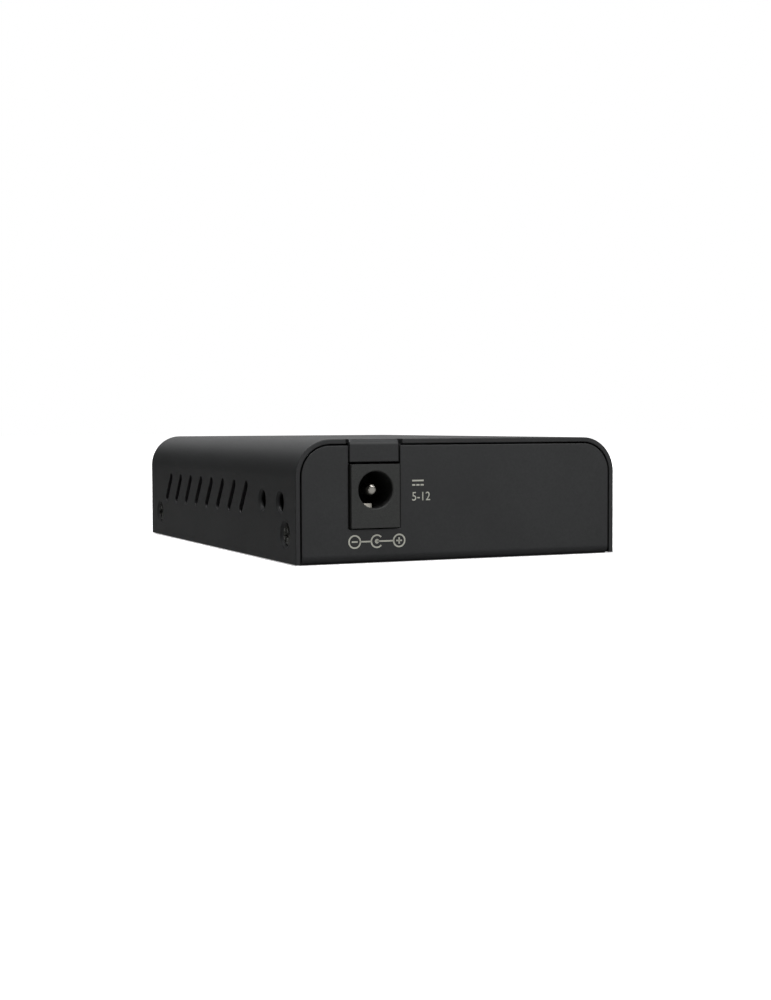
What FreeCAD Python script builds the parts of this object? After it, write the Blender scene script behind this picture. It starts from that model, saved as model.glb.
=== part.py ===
import FreeCAD
import Part
import os
import re
import Sketcher
from FreeCAD import Vector

# Fibre media converter: a small steel box that turns copper Ethernet into light.
#
# A folded tray carries the circuit board on standoffs; an inverted U of the same
# sheet drops over it and is held by four countersunk screws in its sides. The ports
# (copper socket, duplex fibre socket, lamps) face -Y, the power inlet faces +Y.
# The origin is the middle of the tray's underside, +Z is up, lengths are in mm.

# ------------------------------------------------------------------ driving sizes
# Every alias has at least two words, so that it can't be read as a unit or a cell.

SIZES = {
    # the steel box
    "case_width": 62.0,
    "case_length": 90.0,
    "case_height": 21.3,
    "cover_gauge": 0.8,
    "cover_bend": 6.3,          # outer radius of the cover's two long folds
    "tray_gauge": 1.0,
    "tray_bend": 1.5,           # outer radius of the tray's folds
    "side_gap": 0.3,            # tray edge to cover wall
    "skirt_lift": 0.2,          # the cover's lower edge stays clear of the table
    "relief_width": 0.7,        # slits that free a fold from the sheet beside it
    "relief_depth": 2.2,
    # louvre slots in the cover's walls
    "vent_count": 8,
    "vent_pitch": 7.02,
    "vent_width": 1.7,
    "vent_rise": 4.4,
    "vent_lean": 3.3,          # how far a slot's upper end leans to the rear
    "vent_base": 8.4,
    "vent_inset": 12.0,         # front edge to the first slot
    # bracket holes and cover screws, in the cover's walls
    "bracket_hole": 3.2,
    "bracket_pitch": 9.25,
    "bracket_inset": 7.6,
    "bracket_level": 10.5,
    "bracket_chamfer": 0.4,
    "screw_inset_rear": 5.15,
    "screw_inset_front": 6.5,
    "screw_level": 5.1,
    "screw_thread": 3.0,
    "screw_head": 4.5,
    "screw_length": 3.6,
    "screw_sunk": 0.15,          # head below the wall's face
    "head_clearance": 0.2,
    "thread_clearance": 0.02,   # also round a pressed or riveted end
    "recess_span": 2.5,         # cross recess, tip to tip
    "recess_slot": 0.6,
    "recess_depth": 0.6,
    "ear_length": 6.4,
    "ear_height": 8.9,
    # circuit board and what holds it
    "board_side": 5.0,          # board edge to the cover's outer face
    "board_thickness": 1.6,
    "board_end_gap": 0.6,
    "standoff_height": 3.5,
    "standoff_flats": 5.0,
    "standoff_spigot": 4.2,
    "fixing_thread": 3.0,
    "fixing_clearance": 0.1,
    "fixing_head": 5.4,
    "fixing_head_height": 1.8,
    "fixing_length": 4.2,
    "fixing_side": 3.4,         # board edge to the side fixings
    "fixing_rear": 18.0,        # from the rear face
    "fixing_middle": 43.5,      # from the front face, like the next
    "fixing_front": 14.5,
    "hole_clearance": 0.15,     # round a lead in its drilled hole
    # power inlet
    "jack_offset": 14.4,        # bore's centre to the cover's outer face
    "jack_width": 9.0,
    "jack_height": 10.9,
    "jack_depth": 14.2,
    "jack_flange": 3.4,
    "jack_shoulder": 0.4,       # the flange stands round the barrel by this much
    "jack_bore": 6.4,
    "jack_axis": 6.5,           # bore's centre above the board
    "jack_bore_depth": 9.6,
    "jack_chamber": 2.2,
    "jack_mouth": 0.15,
    "jack_proud": 0.6,
    "pin_diameter": 2.1,
    "pin_recess": 1.6,
    "pin_collar": 2.7,          # where the pin is pressed into the housing
    "collar_rise": 0.4,
    "pin_rivet": 3.6,
    "terminal_gauge": 0.5,
    "terminal_width": 2.4,
    "terminal_tail": 3.0,       # below the board's upper face
    "leaf_gauge": 0.3,
    "leaf_width": 2.6,
    "leaf_rise": 0.8,
    "notch_clearance": 0.35,
    "flap_clearance": 0.3,
    "flap_gap": 0.4,
    "flap_bend": 0.95,
    # copper socket
    "copper_offset": 17.4,
    "copper_width": 15.9,
    "copper_height": 12.2,
    "copper_depth": 18.3,
    "shield_gauge": 0.25,
    "plug_width": 11.9,
    "plug_height": 6.8,
    "plug_depth": 12.8,
    "plug_floor": 3.7,
    "latch_width": 6.2,
    "latch_drop": 1.2,
    "latch_keel_width": 3.3,
    "latch_keel_drop": 1.0,
    "carrier_width": 9.2,
    "carrier_start": 3.4,
    "passage_wall": 1.0,
    "contact_pitch": 1.02,
    "contact_width": 0.4,
    "contact_gauge": 0.3,
    "contact_start": 4.2,
    "contact_reach": 7.0,
    "contact_dip": 2.3,
    "contact_channel": 0.7,
    # fibre socket
    "fibre_offset": -12.7,
    "fibre_width": 25.4,
    "fibre_depth": 39.0,
    "fibre_height": 10.4,
    "fibre_nose": 13.5,
    "fibre_step": 1.2,
    "port_pitch": 12.7,
    "port_width": 9.3,
    "port_height": 7.4,
    "port_depth": 12.0,
    "port_key_width": 3.2,
    "port_key_height": 0.8,
    "barrel_diameter": 4.4,
    "barrel_bore": 2.5,
    "barrel_length": 6.8,
    "barrel_flange": 6.2,
    "barrel_flange_length": 1.2,
    "hook_height": 3.6,
    "hook_plate_height": 6.6,
    "hook_arm": 0.7,
    "hook_length": 6.4,
    "hook_catch": 0.7,
    "hook_plate": 0.8,
    "hook_side_gap": 0.3,
    "header_count": 9,
    "header_pitch": 2.54,
    "header_pin": 0.5,
    "post_diameter": 2.0,
    "post_length": 3.4,
    "post_spacing": 20.3,
    # indicator lamps
    "lamp_offset": 4.75,
    "lamp_columns": 2,
    "lamp_rows": 3,
    "lamp_pitch": 4.0,
    "lamp_diameter": 3.0,
    "lamp_flange": 3.6,
    "lamp_flange_length": 0.8,
    "lamp_length": 5.0,
    "lamp_level": 2.6,          # lowest lamp's axis above the board
    "lamp_block_depth": 3.2,       # ends at the lamps' flanges
    "lamp_block_side": 2.1,     # holder beyond the outer lamps' axes
    "lamp_lead": 0.45,
    "lamp_lead_pitch": 1.8,
    "lamp_lead_step": 1.2,
    # face openings
    "port_clearance": 0.2,
    "face_recess": 0.2,         # sockets stand back from the front face
    # converter chip
    "chip_side": 10.0,
    "chip_thickness": 1.6,
    "chip_lift": 0.15,
    "chip_offset": -5.0,
    "chip_station": 9.0,
    "chip_lead_count": 11,
    "chip_lead_pitch": 0.8,
    "lead_width": 0.36,
    "lead_gauge": 0.16,
    "lead_reach": 1.5,
    "lead_foot": 0.7,
    "pin_mark": 1.0,
    "mould_draft": 7.0,
    # line transformer
    "transformer_width": 9.4,
    "transformer_length": 12.7,
    "transformer_height": 5.6,
    "transformer_offset": 14.0,
    "transformer_gap": 5.5,     # behind the copper socket
    "transformer_lead_count": 8,
    "transformer_lead_pitch": 1.27,
    # small parts on the board
    "small_chip_width": 3.9,
    "small_chip_length": 4.9,
    "small_chip_height": 1.4,
    "small_chip_lead_count": 4,
    "small_chip_lead_pitch": 1.27,
    "regulator_offset": -16.5,
    "regulator_station": 21.5,
    "memory_offset": 10.0,
    "memory_station": 11.0,
    "crystal_length": 11.2,
    "crystal_width": 4.6,
    "crystal_height": 3.4,
    "crystal_base": 0.5,
    "crystal_offset": -5.0,
    "crystal_station": 20.5,
    "can_diameter": 6.3,
    "can_height": 7.0,
    "can_groove": 0.35,
    "can_base": 6.6,
    "can_base_height": 0.8,
    "can_base_corner": 1.4,
    "can_pitch": 8.5,
    "can_offset": -3.5,
    "can_station": 9.0,         # from the rear face, like the next three
    "coil_side": 7.3,
    "coil_height": 4.2,
    "coil_corner": 1.6,
    "coil_core": 4.8,
    "coil_offset": -19.0,
    "coil_station": 9.5,
    "diode_length": 4.3,
    "diode_width": 2.6,
    "diode_height": 2.1,
    "diode_offset": 5.5,
    "diode_station": 18.0,
    "fuse_length": 4.5,
    "fuse_width": 3.2,
    "fuse_height": 0.9,
    "fuse_offset": 13.0,
    "fuse_station": 20.0,
    "chip_part_length": 1.6,
    "chip_part_width": 0.8,
    "resistor_height": 0.45,
    "capacitor_height": 0.8,
    "chip_part_pitch": 2.2,
    "resistor_count": 6,
    "capacitor_count": 7,
}

doc = FreeCAD.newDocument("media_converter")
sheet = doc.addObject("Spreadsheet::Sheet", "sizes")
for row, (alias, number) in enumerate(SIZES.items(), start=1):
    sheet.set(f"A{row}", alias)
    sheet.set(f"B{row}", str(number))
    sheet.setAlias(f"B{row}", alias)
doc.recompute()

# -------------------------------------------------- places that follow from sizes

WALL_INSIDE = "(case_width / 2 - cover_gauge)"
TRAY_EDGE = f"({WALL_INSIDE} - side_gap)"
ROOF_INSIDE = "(case_height - cover_gauge)"
PANEL_TOP = f"({ROOF_INSIDE} - side_gap)"
FRONT = "(-case_length / 2)"
REAR = "(case_length / 2)"
BOARD_BASE = "(tray_gauge + standoff_height)"
BOARD_TOP = f"({BOARD_BASE} + board_thickness)"
SCREW_REAR = f"({REAR} - screw_inset_rear)"
SCREW_FRONT = f"({FRONT} + screw_inset_front)"
SCREW_SPAN = f"({SCREW_REAR} - {SCREW_FRONT})"
SOCKET_FACE = f"({FRONT} + face_recess)"
JACK_FACE = f"({REAR} + jack_proud)"
JACK_PLACE = "(case_width / 2 - jack_offset)"
BOARD_HALF = "(case_width / 2 - board_side)"
PORT_FLOOR = "((fibre_height - port_height) / 2)"
PORT_AXIS = "(fibre_height / 2)"


# ---------------------------------------------------------------- modelling words

def full(text):
    """The expression with the sheet's name in front of each alias."""
    return re.sub(r"[a-z]+(?:_[a-z]+)+", lambda found: "sizes." + found.group(), text)


def worth(text):
    """The number that an expression has at the sheet's present sizes."""
    return float(sheet.evalExpression(full(text)))


def count(alias):
    return int(worth(alias))


def new_body(label, x="0", y="0", z="0"):
    """A PartDesign body whose own frame stands at (x, y, z)."""
    body = doc.addObject("PartDesign::Body", label)
    body.Label = label
    body.AllowCompound = True
    for axis, place in zip("xyz", (x, y, z)):
        body.setExpression("Placement.Base." + axis, full(place))
    return body


def origin_of(body, role):
    return next(part for part in body.Origin.OriginFeatures if part.Role == role)


NORMALS = {"XY": "+z", "XZ": "-y", "YZ": "+x"}


def new_sketch(body, name, plane, at="0"):
    """A sketch on one of the body's own planes, moved along it to the place 'at'."""
    sketch = body.newObject("Sketcher::SketchObject", name)
    sketch.AttachmentSupport = [(origin_of(body, plane + "_Plane"), "")]
    sketch.MapMode = "FlatFace"
    sign = "-" if NORMALS[plane][0] == "-" else ""
    sketch.setExpression("AttachmentOffset.Base.z", full(f"{sign}({at})"))
    sketch.Visibility = False
    return sketch


def bound(sketch, kind, *where):
    """Adds a dimension whose last item is an expression, and binds it to the sheet."""
    *where, text = where
    index = sketch.addConstraint(Sketcher.Constraint(kind, *where, worth(text)))
    sketch.setExpression(f"Constraints[{index}]", full(text))


def pin_point(sketch, element, end, x, y):
    bound(sketch, "DistanceX", -1, 1, element, end, x)
    bound(sketch, "DistanceY", -1, 1, element, end, y)


def sign_of(number):
    return (number > 1e-9) - (number < -1e-9)


def outline(sketch, corners):
    """A closed outline through corners (x, y) or (x, y, radius), all expressions.

    A corner with a radius joins a level side and an upright side with a tangent arc.
    """
    spots = [Vector(worth(c[0]), worth(c[1]), 0) for c in corners]
    total = len(corners)
    starts, ends, arcs = [], [], []
    for i, corner in enumerate(corners):
        before, after = spots[i] - spots[i - 1], spots[(i + 1) % total] - spots[i]
        if len(corner) == 2:
            starts.append((spots[i], None))
            ends.append((spots[i], None))
            continue
        radius = worth(corner[2])
        back = Vector(sign_of(before.x), sign_of(before.y), 0) * -1
        ahead = Vector(sign_of(after.x), sign_of(after.y), 0)
        centre = spots[i] + (back + ahead) * radius
        first, last = spots[i] + back * radius, spots[i] + ahead * radius
        left_turn = before.cross(after).z > 0
        ring = Part.Circle(centre, Vector(0, 0, 1), radius)
        angles = [ring.parameter(p) for p in ((first, last) if left_turn else (last, first))]
        arc = sketch.addGeometry(Part.ArcOfCircle(ring, *angles))
        side = back + ahead
        pin_point(sketch, arc, 3,
                  f"({corner[0]}) + ({sign_of(side.x)}) * ({corner[2]})",
                  f"({corner[1]}) + ({sign_of(side.y)}) * ({corner[2]})")
        bound(sketch, "Radius", arc, corner[2])
        enter, leave = (1, 2) if left_turn else (2, 1)
        level_first = abs(back.x) > 0
        sketch.addConstraint(Sketcher.Constraint(
            "Vertical" if level_first else "Horizontal", arc, enter, arc, 3))
        sketch.addConstraint(Sketcher.Constraint(
            "Horizontal" if level_first else "Vertical", arc, leave, arc, 3))
        starts.append((first, (arc, enter)))
        ends.append((last, (arc, leave)))
    lines = [sketch.addGeometry(Part.LineSegment(ends[i][0], starts[(i + 1) % total][0]))
             for i in range(total)]
    for i, corner in enumerate(corners):
        incoming, outgoing = lines[i - 1], lines[i]
        if len(corner) == 2:
            sketch.addConstraint(Sketcher.Constraint("Coincident", incoming, 2, outgoing, 1))
            pin_point(sketch, outgoing, 1, corner[0], corner[1])
        else:
            sketch.addConstraint(Sketcher.Constraint("Coincident", incoming, 2, *starts[i][1]))
            sketch.addConstraint(Sketcher.Constraint("Coincident", outgoing, 1, *ends[i][1]))


def rectangle(sketch, left, right, low, high, radius=None):
    corners = [(left, low), (right, low), (right, high), (left, high)]
    outline(sketch, [c + (radius,) for c in corners] if radius else corners)


def circle(sketch, x, y, diameter):
    ring = sketch.addGeometry(Part.Circle(Vector(worth(x), worth(y), 0), Vector(0, 0, 1),
                                          worth(diameter) / 2))
    pin_point(sketch, ring, 3, x, y)
    bound(sketch, "Diameter", ring, diameter)


def slot(sketch, x0, y0, x1, y1, width):
    """A round-ended slot from one end's centre to the other's."""
    low, high = Vector(worth(x0), worth(y0), 0), Vector(worth(x1), worth(y1), 0)
    radius = worth(width) / 2
    side = (high - low).cross(Vector(0, 0, 1)).normalize() * radius
    turns = []
    for centre, first, last in ((low, low - side, low + side), (high, high + side, high - side)):
        ring = Part.Circle(centre, Vector(0, 0, 1), radius)
        turns.append(sketch.addGeometry(
            Part.ArcOfCircle(ring, ring.parameter(first), ring.parameter(last))))
    sides = [sketch.addGeometry(Part.LineSegment(low + side, high + side)),
             sketch.addGeometry(Part.LineSegment(high - side, low - side))]
    for turn, place in zip(turns, ((x0, y0), (x1, y1))):
        pin_point(sketch, turn, 3, *place)
        bound(sketch, "Radius", turn, f"({width}) / 2")
    for arc, arc_end, line, line_end in ((turns[0], 2, sides[0], 1), (turns[1], 1, sides[0], 2),
                                         (turns[1], 2, sides[1], 1), (turns[0], 1, sides[1], 2)):
        sketch.addConstraint(Sketcher.Constraint("Tangent", arc, arc_end, line, line_end))


def extrusion(kind, sketch, name, length, towards):
    """A Pad or Pocket from a sketch towards '+x', '-z' and so on, or 'both' ways."""
    body = sketch.getParentGeoFeatureGroup()
    feature = body.newObject("PartDesign::" + kind, name)
    feature.Profile = sketch
    feature.setExpression("Length", full(length))
    if towards == "both":
        feature.Midplane = True
    else:
        plane = next(p for p in NORMALS if sketch.AttachmentSupport[0][0].Role.startswith(p))
        along_normal = towards == NORMALS[plane]
        feature.Reversed = along_normal if kind == "Pocket" else not along_normal
    return feature


def pad(sketch, name, length, towards):
    return extrusion("Pad", sketch, name, length, towards)


def pocket(sketch, name, length, towards):
    return extrusion("Pocket", sketch, name, length, towards)


def turned(sketch, name, axis="V_Axis"):
    """A solid of revolution about one of the sketch's own axes."""
    body = sketch.getParentGeoFeatureGroup()
    feature = body.newObject("PartDesign::Revolution", name)
    feature.Profile = sketch
    feature.ReferenceAxis = (sketch, [axis])
    feature.Angle = 360
    return feature


def mirror_step(body, name, plane):
    step = body.newObject("PartDesign::Mirrored", name)
    step.MirrorPlane = (origin_of(body, plane + "_Plane"), [""])
    return step


def row_step(body, name, axis, pitch, number, backward=False):
    """A row of copies: pitch is an expression, number an alias or a plain number."""
    step = body.newObject("PartDesign::LinearPattern", name)
    step.Direction = (origin_of(body, axis + "_Axis"), [""])
    step.Reversed = backward
    step.setExpression("Length", full(f"({pitch}) * ({number} - 1)"))
    step.setExpression("Occurrences", full(str(number)))
    return step


def repeat(body, name, features, *steps):
    """Repeats features by one step or by several chained ones, and makes that the tip."""
    if len(steps) == 1:
        final = steps[0]
    else:
        final = body.newObject("PartDesign::MultiTransform", name)
        final.Transformations = list(steps)
    final.Originals = features
    body.Tip = final
    return final


def edges_of(feature, test):
    """Names of the edges whose middle point and direction pass a test."""
    doc.recompute()
    names = []
    for number, edge in enumerate(feature.Shape.Edges, start=1):
        middle = edge.valueAt((edge.FirstParameter + edge.LastParameter) / 2)
        if test(edge, middle):
            names.append(f"Edge{number}")
    return names


def eased(kind, feature, name, size, test):
    """A Fillet or Chamfer on the edges that pass a test."""
    body = feature.getParentGeoFeatureGroup()
    dressed = body.newObject("PartDesign::" + kind, name)
    dressed.Base = (feature, edges_of(feature, test))
    dressed.setExpression("Radius" if kind == "Fillet" else "Size", full(size))
    return dressed


def near(number, text):
    return abs(number - worth(text)) < 1e-4


def cross(sketch, x, y, span, width):
    """The plus-shaped mouth of a cross recess."""
    far, thin = f"({span}) / 2", f"({width}) / 2"
    ring = [("+", far, "+", thin), ("+", thin, "+", thin), ("+", thin, "+", far),
            ("-", thin, "+", far), ("-", thin, "+", thin), ("-", far, "+", thin),
            ("-", far, "-", thin), ("-", thin, "-", thin), ("-", thin, "-", far),
            ("+", thin, "-", far), ("+", thin, "-", thin), ("+", far, "-", thin)]
    outline(sketch, [(f"{x} {a} {b}", f"{y} {c} {d}") for a, b, c, d in ring])


def hexagon(sketch, x, y, flats):
    far, near_side = f"({flats}) / sqrt(3)", f"({flats}) / sqrt(3) / 2"
    half = f"({flats}) / 2"
    ring = [(f"+ {far}", "+ 0"), (f"+ {near_side}", f"+ {half}"), (f"- {near_side}", f"+ {half}"),
            (f"- {far}", "+ 0"), (f"- {near_side}", f"- {half}"), (f"+ {near_side}", f"- {half}")]
    outline(sketch, [(f"{x} {a}", f"{y} {b}") for a, b in ring])


def folded_strip(sketch, root, edge, low, high, gauge, bend):
    """An L of bent sheet: flat from root to edge at 'low', then upright to 'high'.

    Lengths are along the sketch's axes; edge and low are the outer faces. A strip that
    folds down has 'high' below 'low' and a negative gauge across the fold.
    """
    inner = f"({bend}) - ({gauge})"
    up = "+" if worth(high) > worth(low) else "-"
    outline(sketch, [
        (root, low), (edge, low, bend), (edge, high),
        (f"({edge}) - ({gauge})", high),
        (f"({edge}) - ({gauge})", f"({low}) {up} ({gauge})", inner),
        (root, f"({low}) {up} ({gauge})")])


# ------------------------------------------------------------------ the steel box

SIDE_FIXING = f"({BOARD_HALF} - fixing_side)"
FIXINGS = [(SIDE_FIXING, f"{REAR} - fixing_rear"), (f"-{SIDE_FIXING}", f"{REAR} - fixing_rear"),
           (SIDE_FIXING, f"{FRONT} + fixing_middle"), (f"-{SIDE_FIXING}", f"{FRONT} + fixing_middle"),
           ("lamp_offset", f"{FRONT} + fixing_front")]
NOTCH_HALF = "(jack_width / 2 + notch_clearance)"
FLAP_HALF = f"({NOTCH_HALF} - flap_clearance)"
FLAP_END = f"({BOARD_TOP} + jack_height + flap_gap)"


def make_top_cover():
    """The inverted U: two long folds, louvred walls, and a flap over the inlet."""
    body = new_body("top_cover")
    profile = new_sketch(body, "cover_profile", "XZ")
    half, inside = "case_width / 2", WALL_INSIDE
    outline(profile, [
        (f"-{half}", "skirt_lift"), (f"-{half}", "case_height", "cover_bend"),
        (half, "case_height", "cover_bend"), (half, "skirt_lift"), (inside, "skirt_lift"),
        (inside, ROOF_INSIDE, "cover_bend - cover_gauge"),
        (f"-{inside}", ROOF_INSIDE, "cover_bend - cover_gauge"), (f"-{inside}", "skirt_lift")])
    pad(profile, "folded_sheet", "case_length", "both")

    reliefs = new_sketch(body, "flap_reliefs", "XY", "case_height")
    rectangle(reliefs, f"{JACK_PLACE} - {FLAP_HALF} - relief_width",
              f"{JACK_PLACE} + {FLAP_HALF} + relief_width", f"{REAR} - relief_depth", f"{REAR} + 1")
    pocket(reliefs, "flap_notch", "2 * cover_gauge", "-z")
    strip = new_sketch(body, "flap_profile", "YZ", JACK_PLACE)
    folded_strip(strip, f"{REAR} - relief_depth", REAR, "case_height", FLAP_END,
                 "cover_gauge", "flap_bend")
    pad(strip, "flap", f"2 * {FLAP_HALF}", "both")

    louvre = new_sketch(body, "first_vent", "YZ")
    first = f"{FRONT} + vent_inset"
    slot(louvre, first, "vent_base", f"{first} + vent_lean", "vent_base + vent_rise", "vent_width")
    vent = pocket(louvre, "vent", "case_width + 2", "both")
    repeat(body, "vents", [vent], row_step(body, "vent_row", "Y", "vent_pitch", "vent_count"))

    bracket = new_sketch(body, "bracket_holes", "YZ")
    circle(bracket, f"{REAR} - bracket_inset", "bracket_level", "bracket_hole")
    circle(bracket, f"{REAR} - bracket_inset - bracket_pitch", "bracket_level", "bracket_hole")
    drilled = pocket(bracket, "bracket_drilling", "case_width + 2", "both")
    eased("Chamfer", drilled, "bracket_edges", "bracket_chamfer",
          lambda edge, at: near(abs(at.x), "case_width / 2") and hasattr(edge.Curve, "Radius")
          and near(edge.Curve.Radius, "bracket_hole / 2"))

    seats = new_sketch(body, "screw_seats", "YZ", "case_width / 2")
    for station in (SCREW_REAR, SCREW_FRONT):
        circle(seats, station, "screw_level", "screw_thread + 2 * head_clearance")
    doc.recompute()
    holes = body.newObject("PartDesign::Hole", "countersinks")
    holes.Profile = seats
    doc.recompute()
    holes.DepthType = "Dimension"
    holes.DrillPoint = "Flat"
    holes.HoleCutType = "Countersink"
    holes.HoleCutCustomValues = True
    holes.HoleCutCountersinkAngle = 90
    holes.setExpression("Depth", full("cover_gauge + 1"))
    holes.setExpression("Diameter", full("screw_thread + 2 * head_clearance"))
    holes.setExpression("HoleCutDiameter", full("screw_head + 2 * head_clearance"))
    doc.recompute()
    repeat(body, "both_walls", [holes], mirror_step(body, "other_wall", "YZ"))


def make_base_tray():
    """The folded tray: floor, two end panels with the ports' openings, tapped ears."""
    body = new_body("base_tray")
    profile = new_sketch(body, "tray_profile", "YZ")
    inner = "tray_bend - tray_gauge"
    front_in, rear_in = f"{FRONT} + tray_gauge", f"{REAR} - tray_gauge"
    outline(profile, [
        (FRONT, PANEL_TOP), (FRONT, "0", "tray_bend"), (REAR, "0", "tray_bend"),
        (REAR, PANEL_TOP), (rear_in, PANEL_TOP), (rear_in, "tray_gauge", inner),
        (front_in, "tray_gauge", inner), (front_in, PANEL_TOP)])
    sheet_metal = pad(profile, "folded_sheet", f"2 * {TRAY_EDGE}", "both")
    rounded = eased("Fillet", sheet_metal, "panel_shoulders", "cover_bend - cover_gauge - side_gap",
                    lambda edge, at: near(abs(at.x), TRAY_EDGE) and near(at.z, PANEL_TOP))
    body.Tip = rounded

    notch = new_sketch(body, "ear_relief", "XY")
    ear_low, ear_high = f"{SCREW_REAR} - ear_length / 2", f"{SCREW_REAR} + ear_length / 2"
    rectangle(notch, f"{TRAY_EDGE} - relief_depth", f"{TRAY_EDGE} + 1",
              f"{ear_low} - relief_width", f"{ear_high} + relief_width")
    freed = pocket(notch, "ear_notch", "tray_bend", "+z")
    strip = new_sketch(body, "ear_profile", "XZ", SCREW_REAR)
    folded_strip(strip, f"{TRAY_EDGE} - relief_depth", TRAY_EDGE, "0", "ear_height",
                 "tray_gauge", "tray_bend")
    ear = pad(strip, "ear", "ear_length", "both")
    tapping = new_sketch(body, "ear_hole", "YZ", TRAY_EDGE)
    circle(tapping, SCREW_REAR, "screw_level", "screw_thread + 2 * thread_clearance")
    tapped = pocket(tapping, "ear_tapping", "2 * tray_gauge", "-x")
    repeat(body, "ears", [freed, ear, tapped],
           row_step(body, "ear_row", "Y", SCREW_SPAN, "2", backward=True),
           mirror_step(body, "other_side", "YZ"))

    inlet = new_sketch(body, "inlet_notch", "XZ", REAR)
    rectangle(inlet, f"{JACK_PLACE} - {NOTCH_HALF}", f"{JACK_PLACE} + {NOTCH_HALF}",
              f"{BOARD_TOP} - port_clearance", "case_height")
    pocket(inlet, "inlet_opening", "2 * tray_gauge", "-y")

    ports = new_sketch(body, "port_openings", "XZ", FRONT)
    for offset, width, height in (("copper_offset", "copper_width", "copper_height"),
                                  ("fibre_offset", "fibre_width", "fibre_height")):
        rectangle(ports, f"{offset} - {width} / 2 - port_clearance",
                  f"{offset} + {width} / 2 + port_clearance",
                  f"{BOARD_TOP} - port_clearance", f"{BOARD_TOP} + {height} + port_clearance")
    pocket(ports, "port_cutting", "2 * tray_gauge", "+y")
    windows = new_sketch(body, "lamp_window", "XZ", FRONT)
    circle(windows, LAMP_FIRST_X, LAMP_FIRST_Z, "lamp_diameter + 2 * fixing_clearance")
    window = pocket(windows, "lamp_hole", "2 * tray_gauge", "+y")
    repeat(body, "lamp_holes", [window],
           row_step(body, "lamp_columns_step", "X", "lamp_pitch", "lamp_columns"),
           row_step(body, "lamp_rows_step", "Z", "lamp_pitch", "lamp_rows"))

    spigots = new_sketch(body, "standoff_seats", "XY")
    for x, y in FIXINGS:
        circle(spigots, x, y, "standoff_spigot + 2 * thread_clearance")
    pocket(spigots, "standoff_holes", "2 * tray_gauge", "+z")


LAMP_FIRST_X = "(lamp_offset - (lamp_columns - 1) * lamp_pitch / 2)"
LAMP_FIRST_Z = f"({BOARD_TOP} + lamp_level)"


def make_cover_screws():
    """Countersunk screws through the cover's walls into the tray's ears."""
    body = new_body("cover_screws", y=SCREW_REAR, z="screw_level")
    profile = new_sketch(body, "screw_profile", "XZ")
    top = "(case_width / 2 - screw_sunk)"
    tip = f"({top} - screw_length)"
    outline(profile, [
        (tip, "0"), (top, "0"), (top, "screw_head / 2"),
        (f"{top} - (screw_head - screw_thread) / 2", "screw_thread / 2"),
        (tip, "screw_thread / 2")])
    shank = turned(profile, "turned_screw", "H_Axis")
    mouth = new_sketch(body, "recess", "YZ", top)
    cross(mouth, "0", "0", "recess_span", "recess_slot")
    driven = pocket(mouth, "cross_recess", "recess_depth", "-x")
    repeat(body, "four_screws", [shank, driven],
           row_step(body, "front_pair", "Y", SCREW_SPAN, "2", backward=True),
           mirror_step(body, "other_side", "YZ"))


def make_board_standoffs():
    """Hexagonal standoffs, each with a spigot swaged into the tray's floor."""
    body = new_body("board_standoffs")
    hexes = new_sketch(body, "hexes", "XY", "tray_gauge")
    spigots = new_sketch(body, "spigots", "XY")
    bores = new_sketch(body, "bores", "XY")
    for x, y in FIXINGS:
        hexagon(hexes, x, y, "standoff_flats")
        circle(spigots, x, y, "standoff_spigot")
        circle(bores, x, y, "fixing_thread + 2 * thread_clearance")
    pad(hexes, "hex_bodies", "standoff_height", "+z")
    pad(spigots, "spigot_ends", "tray_gauge", "+z")
    pocket(bores, "threaded_bores", "tray_gauge + standoff_height + 1", "+z")


def make_board_screws():
    """Pan-head screws that hold the board down on its standoffs."""
    body = new_body("board_screws", z=BOARD_TOP)
    shanks = new_sketch(body, "shanks", "XY")
    heads = new_sketch(body, "heads", "XY")
    mouths = new_sketch(body, "recesses", "XY", "fixing_head_height")
    for x, y in FIXINGS:
        circle(shanks, x, y, "fixing_thread")
        circle(heads, x, y, "fixing_head")
        cross(mouths, x, y, "recess_span", "recess_slot")
    pad(heads, "pan_heads", "fixing_head_height", "+z")
    threaded = pad(shanks, "threaded_ends", "fixing_length", "-z")
    eased("Chamfer", threaded, "pan_rims", "fixing_head_height * 0.4",
          lambda edge, at: near(at.z, "fixing_head_height"))
    pocket(mouths, "cross_recesses", "fixing_head_height / 2", "-z")


# --------------------------------------------------------------- the power inlet

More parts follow.
